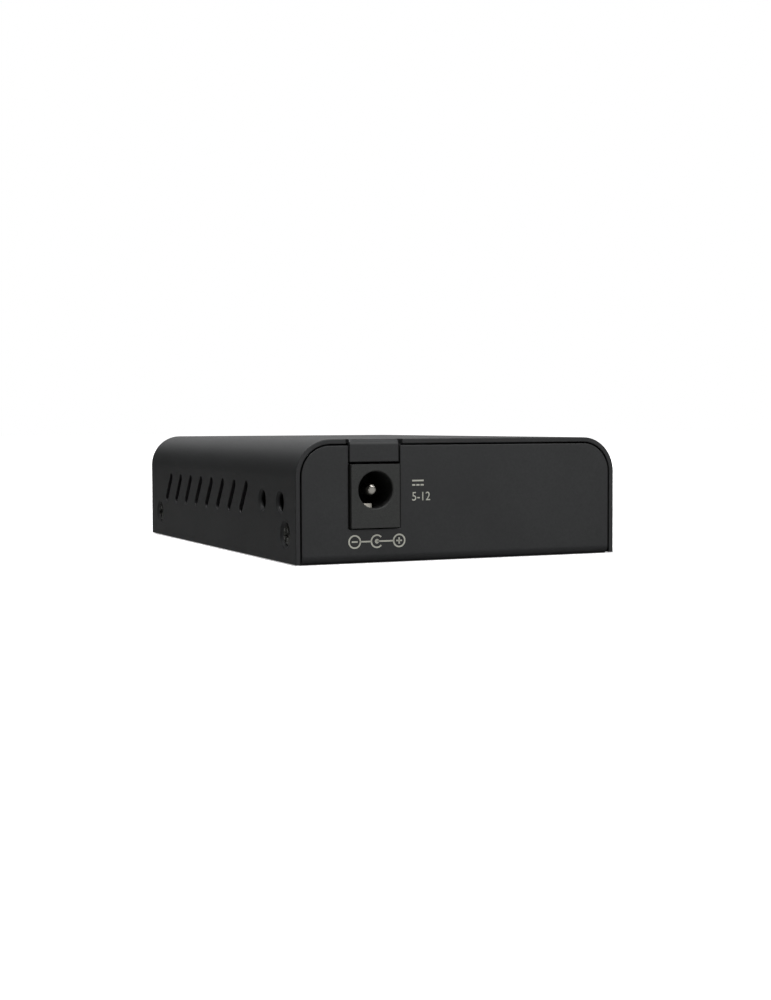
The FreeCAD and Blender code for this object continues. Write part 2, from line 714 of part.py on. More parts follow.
def make_dc_jack_body():
    """Barrel inlet: a square flange, an arched barrel behind it, and a deep bore."""
    body = new_body("dc_jack_body", JACK_PLACE, JACK_FACE, BOARD_TOP)
    face = new_sketch(body, "flange_face", "XZ")
    rectangle(face, "-jack_width / 2", "jack_width / 2", "0", "jack_height", "jack_mouth")
    pad(face, "flange", "jack_flange", "-y")
    arch = new_sketch(body, "barrel_arch", "XZ", "-jack_flange")
    side = "(jack_width / 2 - jack_shoulder)"
    outline(arch, [(f"-{side}", "0"), (side, "0"),
                   (side, f"jack_axis + {side}", f"{side} * 0.96"),
                   (f"-{side}", f"jack_axis + {side}", f"{side} * 0.96")])
    pad(arch, "barrel", "jack_depth - jack_flange", "-y")
    mouth = new_sketch(body, "bore_mouth", "XZ")
    circle(mouth, "0", "jack_axis", "jack_bore")
    bored = pocket(mouth, "bore", "jack_bore_depth", "-y")
    eased("Chamfer", bored, "bore_edge", "jack_mouth",
          lambda edge, at: near(at.y, "0") and hasattr(edge.Curve, "Radius")
          and near(edge.Curve.Radius, "jack_bore / 2"))
    pinhole = new_sketch(body, "pin_hole", "XZ")
    circle(pinhole, "0", "jack_axis", "pin_collar + 2 * thread_clearance")
    pocket(pinhole, "pin_passage", "jack_depth + 1", "-y")
    chamber = new_sketch(body, "rear_chamber", "XZ", "-jack_depth")
    rectangle(chamber, "-jack_bore / 2", "jack_bore / 2", "-1", "jack_axis + jack_bore * 0.4")
    pocket(chamber, "terminal_chamber", "jack_chamber", "+y")
    channel = new_sketch(body, "leaf_channel", "XY")
    rectangle(channel, "-(leaf_width / 2 + hole_clearance)", "leaf_width / 2 + hole_clearance",
              f"-({LEAF_BACK}) - 2 * hole_clearance", "-jack_flange")
    pocket(channel, "leaf_slot", "jack_axis", "+z")


PIN_SEAT = "(jack_depth - jack_chamber)"
LEAF_BACK = "jack_bore_depth - 1.2"


def make_dc_jack_pin():
    """The centre pin, riveted over its terminal plate at the back."""
    body = new_body("dc_jack_pin", JACK_PLACE, JACK_FACE, f"{BOARD_TOP} + jack_axis")
    profile = new_sketch(body, "pin_profile", "YZ")
    rivet = f"({PIN_SEAT} + terminal_gauge)"
    outline(profile, [
        ("-pin_recess", "0"), ("-pin_recess", "pin_diameter * 0.32"),
        ("-pin_recess - pin_diameter * 0.2", "pin_diameter / 2"),
        ("collar_rise - jack_bore_depth", "pin_diameter / 2"),
        ("collar_rise - jack_bore_depth", "pin_collar / 2"), (f"-{rivet}", "pin_collar / 2"),
        (f"-{rivet}", "pin_rivet / 2"), (f"-{rivet} - terminal_gauge", "pin_rivet / 3"),
        (f"-{rivet} - terminal_gauge", "0")])
    turned(profile, "turned_pin", "H_Axis")


def make_dc_jack_plate():
    """The pin's terminal: a plate in the rear chamber with a tail through the board."""
    body = new_body("dc_jack_plate", JACK_PLACE, f"{JACK_FACE} - {PIN_SEAT}", BOARD_TOP)
    face = new_sketch(body, "plate_face", "XZ")
    wide, slim = "pin_rivet / 2", "terminal_width / 2"
    outline(face, [
        (f"-{slim}", "-terminal_tail"), (slim, "-terminal_tail"), (slim, "jack_axis / 4"),
        (wide, "jack_axis / 2"), (wide, f"jack_axis + {wide}"), (f"-{wide}", f"jack_axis + {wide}"),
        (f"-{wide}", "jack_axis / 2"), (f"-{slim}", "jack_axis / 4")])
    circle(face, "0", "jack_axis", "pin_collar + 2 * thread_clearance")
    pad(face, "plate", "terminal_gauge", "-y")


def make_dc_jack_leaf():
    """The sprung leaf that touches the plug's sleeve from below."""
    body = new_body("dc_jack_leaf", JACK_PLACE, JACK_FACE, BOARD_TOP)
    side = new_sketch(body, "leaf_profile", "YZ")
    crest = "(jack_axis - jack_bore / 2 + leaf_rise)"
    back, front = f"-({LEAF_BACK})", "-jack_flange"
    outline(side, [
        (back, "-terminal_tail"), (f"{back} + leaf_gauge", "-terminal_tail"),
        (f"{back} + leaf_gauge", f"{crest} * 0.45"), (f"{front} - 1.9", f"{crest} - leaf_gauge * 1.15"),
        (f"{front} - 1.55", f"{crest} - 1.15"), (f"{front} - 1.25", f"{crest} - 1.1"),
        (f"{front} - 1.5", f"{crest} - 0.12"), (f"{front} - 2", crest), (back, f"{crest} * 0.5")])
    pad(side, "leaf", "leaf_width", "both")


# -------------------------------------------------------------- the copper socket

def plug_outline(sketch, spare="0"):
    """Front view of the plug's passage, with the steps below for its latch."""
    wide, latch, keel = "plug_width / 2", "latch_width / 2", "latch_keel_width / 2"
    floor, step = "plug_floor", "(plug_floor - latch_drop)"
    low = f"({step} - latch_keel_drop)"
    corners = [(wide, "plug_floor + plug_height"), (wide, floor), (latch, floor), (latch, step),
               (keel, step), (keel, low)]
    right = [(f"{x} + {spare}", z) for x, z in corners]
    left = [(f"-({x} + {spare})", z) for x, z in reversed(corners)]
    outline(sketch, right + left)


def make_rj45_shield():
    """The socket's folded tin can, open below, with a tab on each side for the board."""
    body = new_body("rj45_shield", "copper_offset", SOCKET_FACE, BOARD_TOP)
    face = new_sketch(body, "can_face", "XZ")
    rectangle(face, "-copper_width / 2", "copper_width / 2", "0", "copper_height")
    pad(face, "can", "copper_depth", "+y")
    inside = new_sketch(body, "can_inside", "XY")
    rectangle(inside, "-(copper_width / 2 - shield_gauge)", "copper_width / 2 - shield_gauge",
              "shield_gauge", "copper_depth - shield_gauge")
    pocket(inside, "hollow", "copper_height - shield_gauge", "+z")
    mouth = new_sketch(body, "can_mouth", "XZ")
    plug_outline(mouth, "fixing_clearance")
    pocket(mouth, "mouth_opening", "2 * shield_gauge", "+y")
    tab = new_sketch(body, "board_tab", "YZ", "copper_width / 2")
    middle, wide = "copper_depth / 2", "(terminal_width / 3)"
    outline(tab, [
        (f"{middle} - {wide}", "shield_gauge"), (f"{middle} - {wide}", f"-terminal_tail + {wide}"),
        (f"{middle} - {wide} / 2", "-terminal_tail"), (f"{middle} + {wide} / 2", "-terminal_tail"),
        (f"{middle} + {wide}", f"-terminal_tail + {wide}"),
        (f"{middle} + {wide}", "shield_gauge")])
    leg = pad(tab, "tab", "shield_gauge", "-x")
    finger = new_sketch(body, "finger_slits", "YZ", "copper_width / 2")
    for level in ("copper_height * 0.35", "copper_height * 0.6"):
        rectangle(finger, "copper_depth * 0.12", "copper_depth * 0.4", level, f"{level} + 0.4")
    slits = pocket(finger, "slits", "2 * shield_gauge", "-x")
    repeat(body, "both_sides", [leg, slits], mirror_step(body, "other_side", "YZ"))


CONTACT_FIRST = "(-(8 - 1) * contact_pitch / 2)"
CONTACT_TOP = "(copper_height - shield_gauge - 0.7)"
CONTACT_BACK = "(copper_depth - 1.4)"
INSERT_GAP = "(shield_gauge + thread_clearance)"
INSERT_HALF = f"(copper_width / 2 - {INSERT_GAP})"
INSERT_BACK = f"(copper_depth - {INSERT_GAP})"
INSERT_TOP = f"(copper_height - {INSERT_GAP})"
PASSAGE_TOP = "(plug_floor + plug_height)"


def make_rj45_insert():
    """The moulding inside the can: the plug's passage, open above and behind it."""
    body = new_body("rj45_insert", "copper_offset", SOCKET_FACE, BOARD_TOP)
    base = new_sketch(body, "block_base", "XY")
    rectangle(base, f"-{INSERT_HALF}", INSERT_HALF, INSERT_GAP, INSERT_BACK)
    pad(base, "block", INSERT_TOP, "+z")
    passage = new_sketch(body, "plug_passage", "XZ")
    plug_outline(passage)
    pocket(passage, "plug_cavity", "plug_depth", "+y")
    roof = new_sketch(body, "carrier_seat", "XY", INSERT_TOP)
    rectangle(roof, "-carrier_width / 2", "carrier_width / 2", "carrier_start", "copper_depth")
    pocket(roof, "carrier_recess", f"{INSERT_TOP} - {PASSAGE_TOP}", "-z")
    rear = new_sketch(body, "rear_seat", "XY", INSERT_TOP)
    rectangle(rear, "-carrier_width / 2", "carrier_width / 2", "plug_depth + passage_wall",
              "copper_depth")
    pocket(rear, "rear_recess", "copper_height + 1", "-z")


def make_rj45_carrier():
    """The second moulding: a comb that holds the wires over and behind the passage."""
    body = new_body("rj45_carrier", "copper_offset", SOCKET_FACE, BOARD_TOP)
    gap = "thread_clearance"
    side = new_sketch(body, "carrier_side", "YZ")
    back_start = f"plug_depth + passage_wall + {gap}"
    outline(side, [
        (f"carrier_start + {gap}", f"{PASSAGE_TOP} + {gap}"), (back_start, f"{PASSAGE_TOP} + {gap}"),
        (back_start, "0"), (INSERT_BACK, "0"), (INSERT_BACK, INSERT_TOP),
        (f"carrier_start + {gap}", INSERT_TOP)])
    pad(side, "carrier", f"carrier_width - 2 * {gap}", "both")
    comb = new_sketch(body, "comb_slot", "YZ", CONTACT_FIRST)
    over = f"{CONTACT_TOP} + hole_clearance"
    under = f"{CONTACT_TOP} - contact_gauge - hole_clearance"
    front = "contact_start - hole_clearance"
    outline(comb, [
        (front, f"{PASSAGE_TOP} - 0.5"), ("plug_depth - 0.5", f"{PASSAGE_TOP} - 0.5"),
        ("plug_depth - 0.5", under), (f"{CONTACT_BACK} - contact_gauge - hole_clearance", under),
        (f"{CONTACT_BACK} - contact_gauge - hole_clearance", "-1"),
        (f"{CONTACT_BACK} + hole_clearance", "-1"), (f"{CONTACT_BACK} + hole_clearance", over),
        (front, over)])
    channel = pocket(comb, "comb_channel", "contact_channel", "both")
    repeat(body, "comb", [channel], row_step(body, "comb_row", "X", "contact_pitch", "8"))


def make_rj45_contacts():
    """Eight sprung wires: up the back, forward over the roof, and down into the passage."""
    body = new_body("rj45_contacts", "copper_offset", SOCKET_FACE, BOARD_TOP)
    wire = new_sketch(body, "wire_profile", "YZ", CONTACT_FIRST)
    top, back, thick = CONTACT_TOP, CONTACT_BACK, "contact_gauge"
    tip_y, tip_z = "(contact_start + contact_reach)", f"({top} - {thick} - contact_dip)"
    outline(wire, [
        (back, "-terminal_tail"), (back, top), ("contact_start", top),
        ("contact_start", f"{top} - {thick} * 1.15"), (tip_y, tip_z),
        (f"{tip_y} + {thick} / 2", f"{tip_z} + {thick}"),
        (f"contact_start + {thick} * 2.9", f"{top} - {thick}"), (f"{back} - {thick}", f"{top} - {thick}"),
        (f"{back} - {thick}", "-terminal_tail")])
    spring = pad(wire, "wire", "contact_width", "both")
    repeat(body, "eight_wires", [spring], row_step(body, "wire_row", "X", "contact_pitch", "8"))


# --------------------------------------------------------------- the fibre socket

PORT_FIRST = "(-port_pitch / 2)"


def make_fibre_housing():
    """The duplex optical module: a square-ported nose with a lower body behind."""
    body = new_body("fibre_housing", "fibre_offset", SOCKET_FACE, BOARD_TOP)
    half = "fibre_width / 2"
    nose = new_sketch(body, "nose_face", "XZ")
    rectangle(nose, f"-{half}", half, "0", "fibre_height", "shield_gauge")
    pad(nose, "nose", "fibre_nose", "+y")
    rear = new_sketch(body, "rear_section", "XZ", "fibre_nose")
    rectangle(rear, f"-{half} + fibre_step / 2", f"{half} - fibre_step / 2", "0",
              "fibre_height - fibre_step", "shield_gauge")
    pad(rear, "rear_block", "fibre_depth - fibre_nose", "+y")
    mouth = new_sketch(body, "port_mouth", "XZ")
    left, right = f"{PORT_FIRST} - port_width / 2", f"{PORT_FIRST} + port_width / 2"
    key_left, key_right = f"{PORT_FIRST} - port_key_width / 2", f"{PORT_FIRST} + port_key_width / 2"
    top = f"({PORT_FLOOR} + port_height)"
    outline(mouth, [
        (left, PORT_FLOOR), (right, PORT_FLOOR), (right, top), (key_right, top),
        (key_right, f"{top} + port_key_height"), (key_left, f"{top} + port_key_height"),
        (key_left, top), (left, top)])
    port = pocket(mouth, "port", "port_depth", "+y")
    seat = new_sketch(body, "barrel_seat", "XZ", "port_depth")
    circle(seat, PORT_FIRST, PORT_AXIS, "barrel_flange + 2 * thread_clearance")
    seated = pocket(seat, "barrel_pocket", "barrel_flange_length", "+y")
    repeat(body, "ports", [port, seated], row_step(body, "port_row", "X", "port_pitch", "2"))
    post = new_sketch(body, "post_ends", "XY")
    for side in ("-", ""):
        circle(post, f"{side}post_spacing / 2", "fibre_nose + post_diameter", "post_diameter")
    pad(post, "posts", "post_length", "-z")


def make_fibre_barrels():
    """The alignment sleeves, one in the middle of each port, each on its own flange."""
    body = new_body("fibre_barrels", f"fibre_offset + {PORT_FIRST}", SOCKET_FACE,
                    f"{BOARD_TOP} + {PORT_AXIS}")
    profile = new_sketch(body, "barrel_profile", "YZ")
    tip, seat = "(port_depth - barrel_length)", "port_depth"
    end = "(port_depth + barrel_flange_length)"
    outline(profile, [
        (tip, "barrel_bore / 2"), (end, "barrel_bore / 2"), (end, "barrel_flange / 2"),
        (seat, "barrel_flange / 2"), (seat, "barrel_diameter / 2"),
        (tip, "barrel_diameter / 2")])
    sleeve = turned(profile, "turned_sleeve", "H_Axis")
    repeat(body, "pair", [sleeve], row_step(body, "pair_row", "X", "port_pitch", "2"))


def make_fibre_latches():
    """The forked springs that catch a plug: a back plate with an arm on each side."""
    body = new_body("fibre_latches", f"fibre_offset + {PORT_FIRST}",
                    f"{SOCKET_FACE} + port_depth", f"{BOARD_TOP} + {PORT_AXIS}")
    half = "(port_width / 2 - hook_side_gap)"
    plan = new_sketch(body, "fork_plan", "XY")
    reach = "(hook_plate + hook_length)"
    nose = f"({half} - hook_arm)"
    outline(plan, [
        (f"-{half}", "0"), (half, "0"), (half, f"-{reach}"),
        (f"{nose} - hook_catch", f"-{reach} + hook_catch * 2"), (nose, f"-{reach} + hook_catch * 2"),
        (nose, "-hook_plate"), (f"-{nose}", "-hook_plate"), (f"-{nose}", f"-{reach} + hook_catch * 2"),
        (f"-({nose} - hook_catch)", f"-{reach} + hook_catch * 2"), (f"-{half}", f"-{reach}")])
    fork = pad(plan, "fork", "hook_height", "both")
    face = new_sketch(body, "plate_face", "XZ")
    rectangle(face, f"-{half}", half, "-hook_plate_height / 2", "hook_plate_height / 2")
    plate = pad(face, "plate", "hook_plate", "-y")
    passage = new_sketch(body, "barrel_passage", "XZ")
    circle(passage, "0", "0", "barrel_diameter + 2 * hole_clearance")
    opened = pocket(passage, "barrel_hole", "2 * hook_plate", "both")
    repeat(body, "pair", [fork, plate, opened], row_step(body, "pair_row", "X", "port_pitch", "2"))


HEADER_STATION = "(fibre_depth - header_pitch)"
HEADER_FIRST = "(-(header_count - 1) * header_pitch / 2)"


def make_fibre_header_pins():
    """The row of nine pins under the module's rear end."""
    body = new_body("fibre_header_pins", "fibre_offset", SOCKET_FACE, BOARD_TOP)
    section = new_sketch(body, "pin_section", "XY")
    thin = "header_pin / 2"
    rectangle(section, f"{HEADER_FIRST} - {thin}", f"{HEADER_FIRST} + {thin}",
              f"{HEADER_STATION} - {thin}", f"{HEADER_STATION} + {thin}")
    pin = pad(section, "pin", "terminal_tail", "-z")
    repeat(body, "pins", [pin], row_step(body, "pin_row", "X", "header_pitch", "header_count"))


# ------------------------------------------------------------------- the lamps

LAMP_TIP = f"({FRONT} + face_recess)"
LAMP_SEAT = f"({LAMP_TIP} + lamp_length)"
BLOCK_FRONT = f"({FRONT} + tray_gauge + fixing_clearance)"
BLOCK_HALF = "((lamp_columns - 1) * lamp_pitch / 2 + lamp_block_side)"
LEAD_FIRST = f"({LAMP_SEAT} + lamp_lead * 3)"


def lamp_steps(body):
    return (row_step(body, "columns", "X", "lamp_pitch", "lamp_columns"),
            row_step(body, "rows", "Z", "lamp_pitch", "lamp_rows"))


def make_lamp_holder():
    """The moulded block that keeps the lamps level and square to the panel."""
    body = new_body("lamp_holder", z=BOARD_TOP)
    face = new_sketch(body, "block_face", "XZ", BLOCK_FRONT)
    rectangle(face, f"lamp_offset - {BLOCK_HALF}", f"lamp_offset + {BLOCK_HALF}", "0",
              "lamp_level + (lamp_rows - 1) * lamp_pitch + lamp_block_side", "shield_gauge")
    pad(face, "block", "lamp_block_depth", "+y")
    front = new_sketch(body, "lamp_bore", "XZ", BLOCK_FRONT)
    circle(front, LAMP_FIRST_X, "lamp_level", "lamp_diameter + 2 * hole_clearance")
    bore = pocket(front, "bore", "lamp_block_depth + 1", "+y")
    repeat(body, "bores", [bore], *lamp_steps(body))


def make_indicator_lamps():
    """Round lamps with a domed end and a flange at the back."""
    body = new_body("indicator_lamps", LAMP_FIRST_X, LAMP_TIP, LAMP_FIRST_Z)
    profile = new_sketch(body, "lamp_profile", "YZ")
    radius = "(lamp_diameter / 2)"
    outline(profile, [
        ("0", "0"), ("0", f"{radius} * 0.5"), (f"{radius} * 0.25", f"{radius} * 0.85"),
        (f"{radius} * 0.7", radius), ("lamp_length - lamp_flange_length", radius),
        ("lamp_length - lamp_flange_length", "lamp_flange / 2"), ("lamp_length", "lamp_flange / 2"),
        ("lamp_length", "0")])
    lamp = turned(profile, "turned_lamp", "H_Axis")
    repeat(body, "lamps", [lamp], *lamp_steps(body))


def make_lamp_leads():
    """Two bent leads to each lamp, the upper rows' further back than the lower ones'."""
    body = new_body("lamp_leads", f"{LAMP_FIRST_X} - lamp_lead_pitch / 2", "0", BOARD_TOP)
    thin = "lamp_lead / 2"
    for number in range(count("lamp_rows")):
        wire = new_sketch(body, f"lead_profile_{number + 1}", "YZ")
        level = f"(lamp_level + {number} * lamp_pitch)"
        drop = f"({LEAD_FIRST} + {number} * lamp_lead_step)"
        outline(wire, [
            (LAMP_SEAT, f"{level} - {thin}"), (f"{drop} - {thin}", f"{level} - {thin}"),
            (f"{drop} - {thin}", "-terminal_tail"), (f"{drop} + {thin}", "-terminal_tail"),
            (f"{drop} + {thin}", f"{level} + {thin}"), (LAMP_SEAT, f"{level} + {thin}")])
        lead = pad(wire, f"lead_{number + 1}", "lamp_lead", "both")
        repeat(body, f"leads_{number + 1}", [lead],
               row_step(body, f"lead_pair_{number + 1}", "X", "lamp_lead_pitch", "2"),
               row_step(body, f"lead_columns_{number + 1}", "X", "lamp_pitch", "lamp_columns"))


# ------------------------------------------------------------- chips on the board

def make_moulded(label, x, y, width, length, height, lift="chip_lift", marked=True):
    """A moulded package: drafted up and down from its lead line, with a first-pin dot."""
    body = new_body(label, x, y, f"{BOARD_TOP} + {lift}")
    middle = f"({height}) / 2"
    for name, towards in (("lower_half", "-z"), ("upper_half", "+z")):
        section = new_sketch(body, name + "_section", "XY", middle)
        rectangle(section, f"-({width}) / 2", f"({width}) / 2", f"-({length}) / 2", f"({length}) / 2")
        half = pad(section, name, middle, towards)
        half.setExpression("TaperAngle", full("-mould_draft"))
    if marked:
        dot = new_sketch(body, "first_pin_dot", "XY", height)
        circle(dot, f"-({width}) / 2 + 1.2 * pin_mark", f"-({length}) / 2 + 1.2 * pin_mark", "pin_mark")
        pocket(dot, "first_pin_mark", "pin_mark / 10", "-z")


def make_gull_leads(label, x, y, width, height, pins, pitch, four_sides=False,
                    lead="lead_width", lift="chip_lift"):
    """Rows of leads that leave a package's middle, drop, and end in flat feet."""
    body = new_body(label, x, y, BOARD_TOP)
    side, waist = f"({width}) / 2", f"({height}) / 2 + {lift}"
    profile = new_sketch(body, "lead_profile", "XZ", f"-(({pins}) - 1) * ({pitch}) / 2")
    foot = f"{side} + lead_reach"
    outline(profile, [
        (side, f"{waist} - lead_gauge / 2"), (f"{side} + lead_foot / 2", f"{waist} - lead_gauge / 2"),
        (f"{foot} - lead_foot", "0"), (foot, "0"), (foot, "lead_gauge"),
        (f"{foot} - lead_foot + lead_gauge / 2", "lead_gauge"),
        (f"{side} + lead_foot / 2 + lead_gauge / 2", f"{waist} + lead_gauge / 2"),
        (side, f"{waist} + lead_gauge / 2")])
    first = pad(profile, "lead", lead, "both")
    along = row_step(body, "lead_row", "Y", pitch, f"({pins})")
    if four_sides:
        around = body.newObject("PartDesign::PolarPattern", "four_rows")
        around.Axis = (origin_of(body, "Z_Axis"), [""])
        around.Angle = 360
        around.Occurrences = 4
    else:
        around = mirror_step(body, "other_row", "YZ")
    repeat(body, "leads", [first], along, around)


TRANSFORMER_STATION = f"({SOCKET_FACE} + copper_depth + transformer_gap + transformer_length / 2)"


def make_chips():
    """The converter chip, the line transformer, and the small eight-leg chips."""
    make_moulded("converter_chip", "chip_offset", "chip_station", "chip_side", "chip_side",
                 "chip_thickness")
    make_gull_leads("converter_chip_leads", "chip_offset", "chip_station", "chip_side",
                    "chip_thickness", "chip_lead_count", "chip_lead_pitch", four_sides=True)
    make_moulded("line_transformer", "transformer_offset", TRANSFORMER_STATION,
                 "transformer_width", "transformer_length", "transformer_height")
    make_gull_leads("line_transformer_leads", "transformer_offset", TRANSFORMER_STATION,
                    "transformer_width", "transformer_height", "transformer_lead_count",
                    "transformer_lead_pitch", lead="lead_width * 1.4")
    for name in ("regulator", "memory"):
        where = (f"{name}_offset", f"{name}_station")
        make_moulded(f"{name}_chip", *where, "small_chip_width", "small_chip_length",
                     "small_chip_height")
        make_gull_leads(f"{name}_chip_leads", *where, "small_chip_width", "small_chip_height",
                        "small_chip_lead_count", "small_chip_lead_pitch")


def make_input_diode():
    """The diode behind the inlet: a drafted block with a broad lead at each end."""
    make_moulded("input_diode", "diode_offset", f"{REAR} - diode_station", "diode_length", "diode_width",
                 "diode_height", marked=False)
    make_gull_leads("input_diode_leads", "diode_offset", f"{REAR} - diode_station", "diode_length",
                    "diode_height", "1", "diode_width", lead="diode_width / 2")


def make_crystal():
    """A low steel can on a moulded base, both with round ends."""
    for label, low, height, spare in (("crystal_base", "0", "crystal_base", "crystal_base"),
                                      ("crystal_can", "crystal_base", "crystal_height", "0")):
        body = new_body(label, "crystal_offset", "crystal_station", f"{BOARD_TOP} + {low}")
        plan = new_sketch(body, "plan", "XY")
        reach = "(crystal_length - crystal_width) / 2"
        slot(plan, f"-{reach}", "0", reach, "0", f"crystal_width + {spare}")
        pad(plan, "raised", height, "+z")


def make_capacitors():
    """Two aluminium cans, necked above square bases with two corners cut off."""
    place = ("can_offset", f"{REAR} - can_station")
    base = new_body("capacitor_bases", *place, BOARD_TOP)
    plan = new_sketch(base, "base_plan", "XY")
    far, cut = "can_base / 2", "(can_base / 2 - can_base_corner)"
    outline(plan, [(f"-{far}", f"-{far}"), (f"{far}", f"-{far}"), (far, cut), (cut, far),
                   (f"-{cut}", far), (f"-{far}", cut)])
    plinth = pad(plan, "plinth", "can_base_height", "+z")
    repeat(base, "pair", [plinth], row_step(base, "pair_row", "X", "can_pitch", "2"))

    cans = new_body("capacitor_cans", *place, f"{BOARD_TOP} + can_base_height")
    side = new_sketch(cans, "can_profile", "XZ")
    radius, neck = "can_diameter / 2", "can_diameter / 2 - can_groove"
    outline(side, [
        ("0", "0"), (radius, "0"), (radius, "can_groove * 2"), (neck, "can_groove * 3"),
        (neck, "can_groove * 4"), (radius, "can_groove * 5"), (radius, "can_height - can_groove"),
        (f"{radius} - can_groove", "can_height"), ("0", "can_height")])
    can = turned(side, "drawn_can")
    repeat(cans, "pair", [can], row_step(cans, "pair_row", "X", "can_pitch", "2"))


def make_power_inductor():
    """A shielded coil: a ferrite block with cut corners and a ring round its core."""
    body = new_body("power_inductor", "coil_offset", f"{REAR} - coil_station", BOARD_TOP)
    plan = new_sketch(body, "block_plan", "XY")
    far, cut = "coil_side / 2", "(coil_side / 2 - coil_corner)"
    outline(plan, [
        (f"-{far}", f"-{cut}"), (f"-{cut}", f"-{far}"), (cut, f"-{far}"), (far, f"-{cut}"),
        (far, cut), (cut, far), (f"-{cut}", far), (f"-{far}", cut)])
    pad(plan, "block", "coil_height", "+z")
    ring = new_sketch(body, "core_gap", "XY", "coil_height")
    circle(ring, "0", "0", "coil_core")
    circle(ring, "0", "0", "coil_core - 2 * leaf_gauge")
    pocket(ring, "core_ring", "coil_height / 4", "-z")


def make_chip_parts():
    """The fuse beside the inlet, and the rows of small resistors and capacitors."""
    fuse = new_body("input_fuse", "fuse_offset", f"{REAR} - fuse_station", BOARD_TOP)
    plan = new_sketch(fuse, "plan", "XY")
    rectangle(plan, "-fuse_length / 2", "fuse_length / 2", "-fuse_width / 2", "fuse_width / 2")
    pad(plan, "block", "fuse_height", "+z")
    before_leads = "chip_station - chip_side / 2 - lead_reach - 1.5 * chip_part_width"
    rows = (("chip_resistors", "resistor", "chip_offset", before_leads, "X"),
            ("chip_capacitors", "capacitor", "chip_offset + chip_side", "chip_station - chip_side",
             "Y"))
    for label, kind, x, y, axis in rows:
        body = new_body(label, x, y, BOARD_TOP)
        plan = new_sketch(body, "plan", "XY")
        start = f"-({kind}_count - 1) * chip_part_pitch / 2" if axis == "X" else "0"
        long, short = "chip_part_length / 2", "chip_part_width / 2"
        across, along = (short, long) if axis == "X" else (long, short)
        rectangle(plan, f"{start} - {across}", f"{start} + {across}", f"-{along}", along)
        block = pad(plan, "block", f"{kind}_height", "+z")
        repeat(body, "row", [block],
               row_step(body, "part_row", axis, "chip_part_pitch", f"{kind}_count"))


# -------------------------------------------------------------- the circuit board

def make_circuit_board():
    """The board, with clearance holes for its screws and a hole for every lead.

    The leads' holes are square here, like the leads, which keeps their many walls few.
    """
    body = new_body("circuit_board", z=BOARD_BASE)
    plan = new_sketch(body, "board_plan", "XY")
    end = f"{REAR} - tray_gauge - board_end_gap"
    rectangle(plan, f"-{BOARD_HALF}", BOARD_HALF, f"-({end})", end, "tray_gauge")
    pad(plan, "board", "board_thickness", "+z")

    round_holes = new_sketch(body, "round_holes", "XY")
    for x, y in FIXINGS:
        circle(round_holes, x, y, "fixing_thread + 2 * fixing_clearance")
    for side in ("-", "+"):
        circle(round_holes, f"fibre_offset {side} post_spacing / 2",
               f"{SOCKET_FACE} + fibre_nose + post_diameter", "post_diameter + 2 * hole_clearance")
    pocket(round_holes, "screw_and_post_holes", "2 * board_thickness", "+z")

    slots = new_sketch(body, "terminal_slots", "XY")
    wide = "(terminal_width / 2 + hole_clearance)"
    plate = f"{JACK_FACE} - {PIN_SEAT}"
    rectangle(slots, f"{JACK_PLACE} - {wide}", f"{JACK_PLACE} + {wide}",
              f"{plate} - terminal_gauge - hole_clearance", f"{plate} + hole_clearance")
    leaf_half = "(leaf_width / 2 + hole_clearance)"
    leaf_back = f"{JACK_FACE} - ({LEAF_BACK})"
    rectangle(slots, f"{JACK_PLACE} - {leaf_half}", f"{JACK_PLACE} + {leaf_half}",
              f"{leaf_back} - hole_clearance", f"{leaf_back} + leaf_gauge + hole_clearance")
    tab_middle = f"({SOCKET_FACE} + copper_depth / 2)"
    tab_half = "(terminal_width / 3 + hole_clearance)"
    for side in ("-", "+"):
        outer = f"(copper_offset {side} (copper_width / 2 - shield_gauge / 2))"
        rectangle(slots, f"{outer} - shield_gauge", f"{outer} + shield_gauge",
                  f"{tab_middle} - {tab_half}", f"{tab_middle} + {tab_half}")
    pocket(slots, "slots", "2 * board_thickness", "+z")

    def drilled(name, x, y, size, *rows):
        drill = new_sketch(body, name + "_hole", "XY")
        rectangle(drill, f"{x} - {size} / 2", f"{x} + {size} / 2", f"{y} - {size} / 2",
                  f"{y} + {size} / 2")
        hole = pocket(drill, name + "_drilling", "2 * board_thickness", "+z")
        steps = [row_step(body, f"{name}_row_{axis}_{place}", axis, pitch, number)
                 for place, (axis, pitch, number) in enumerate(rows, start=1)]
        repeat(body, name + "_holes", [hole], *steps)

    drilled("contact", f"copper_offset + {CONTACT_FIRST}",
            f"{SOCKET_FACE} + {CONTACT_BACK} - contact_gauge / 2", "contact_channel",
            ("X", "contact_pitch", "8"))
    drilled("header", f"fibre_offset + {HEADER_FIRST}", f"{SOCKET_FACE} + {HEADER_STATION}",
            "(header_pin + 2 * hole_clearance)", ("X", "header_pitch", "header_count"))
    drilled("lamp", f"{LAMP_FIRST_X} - lamp_lead_pitch / 2", LEAD_FIRST,
            "(lamp_lead + 2 * hole_clearance)", ("X", "lamp_lead_pitch", "2"),
            ("X", "lamp_pitch", "lamp_columns"), ("Y", "lamp_lead_step", "lamp_rows"))


# -------------------------------------------------------------------- build, write

make_base_tray()
make_top_cover()
make_cover_screws()
make_board_standoffs()
make_circuit_board()
make_board_screws()
make_dc_jack_body()
make_dc_jack_pin()
make_dc_jack_plate()
make_dc_jack_leaf()
make_rj45_shield()
make_rj45_insert()
make_rj45_carrier()
make_rj45_contacts()
make_fibre_housing()
make_fibre_barrels()
make_fibre_latches()
make_fibre_header_pins()
make_lamp_holder()
make_indicator_lamps()
make_lamp_leads()
make_chips()
make_input_diode()
make_crystal()
make_capacitors()
make_power_inductor()
make_chip_parts()
doc.recompute()

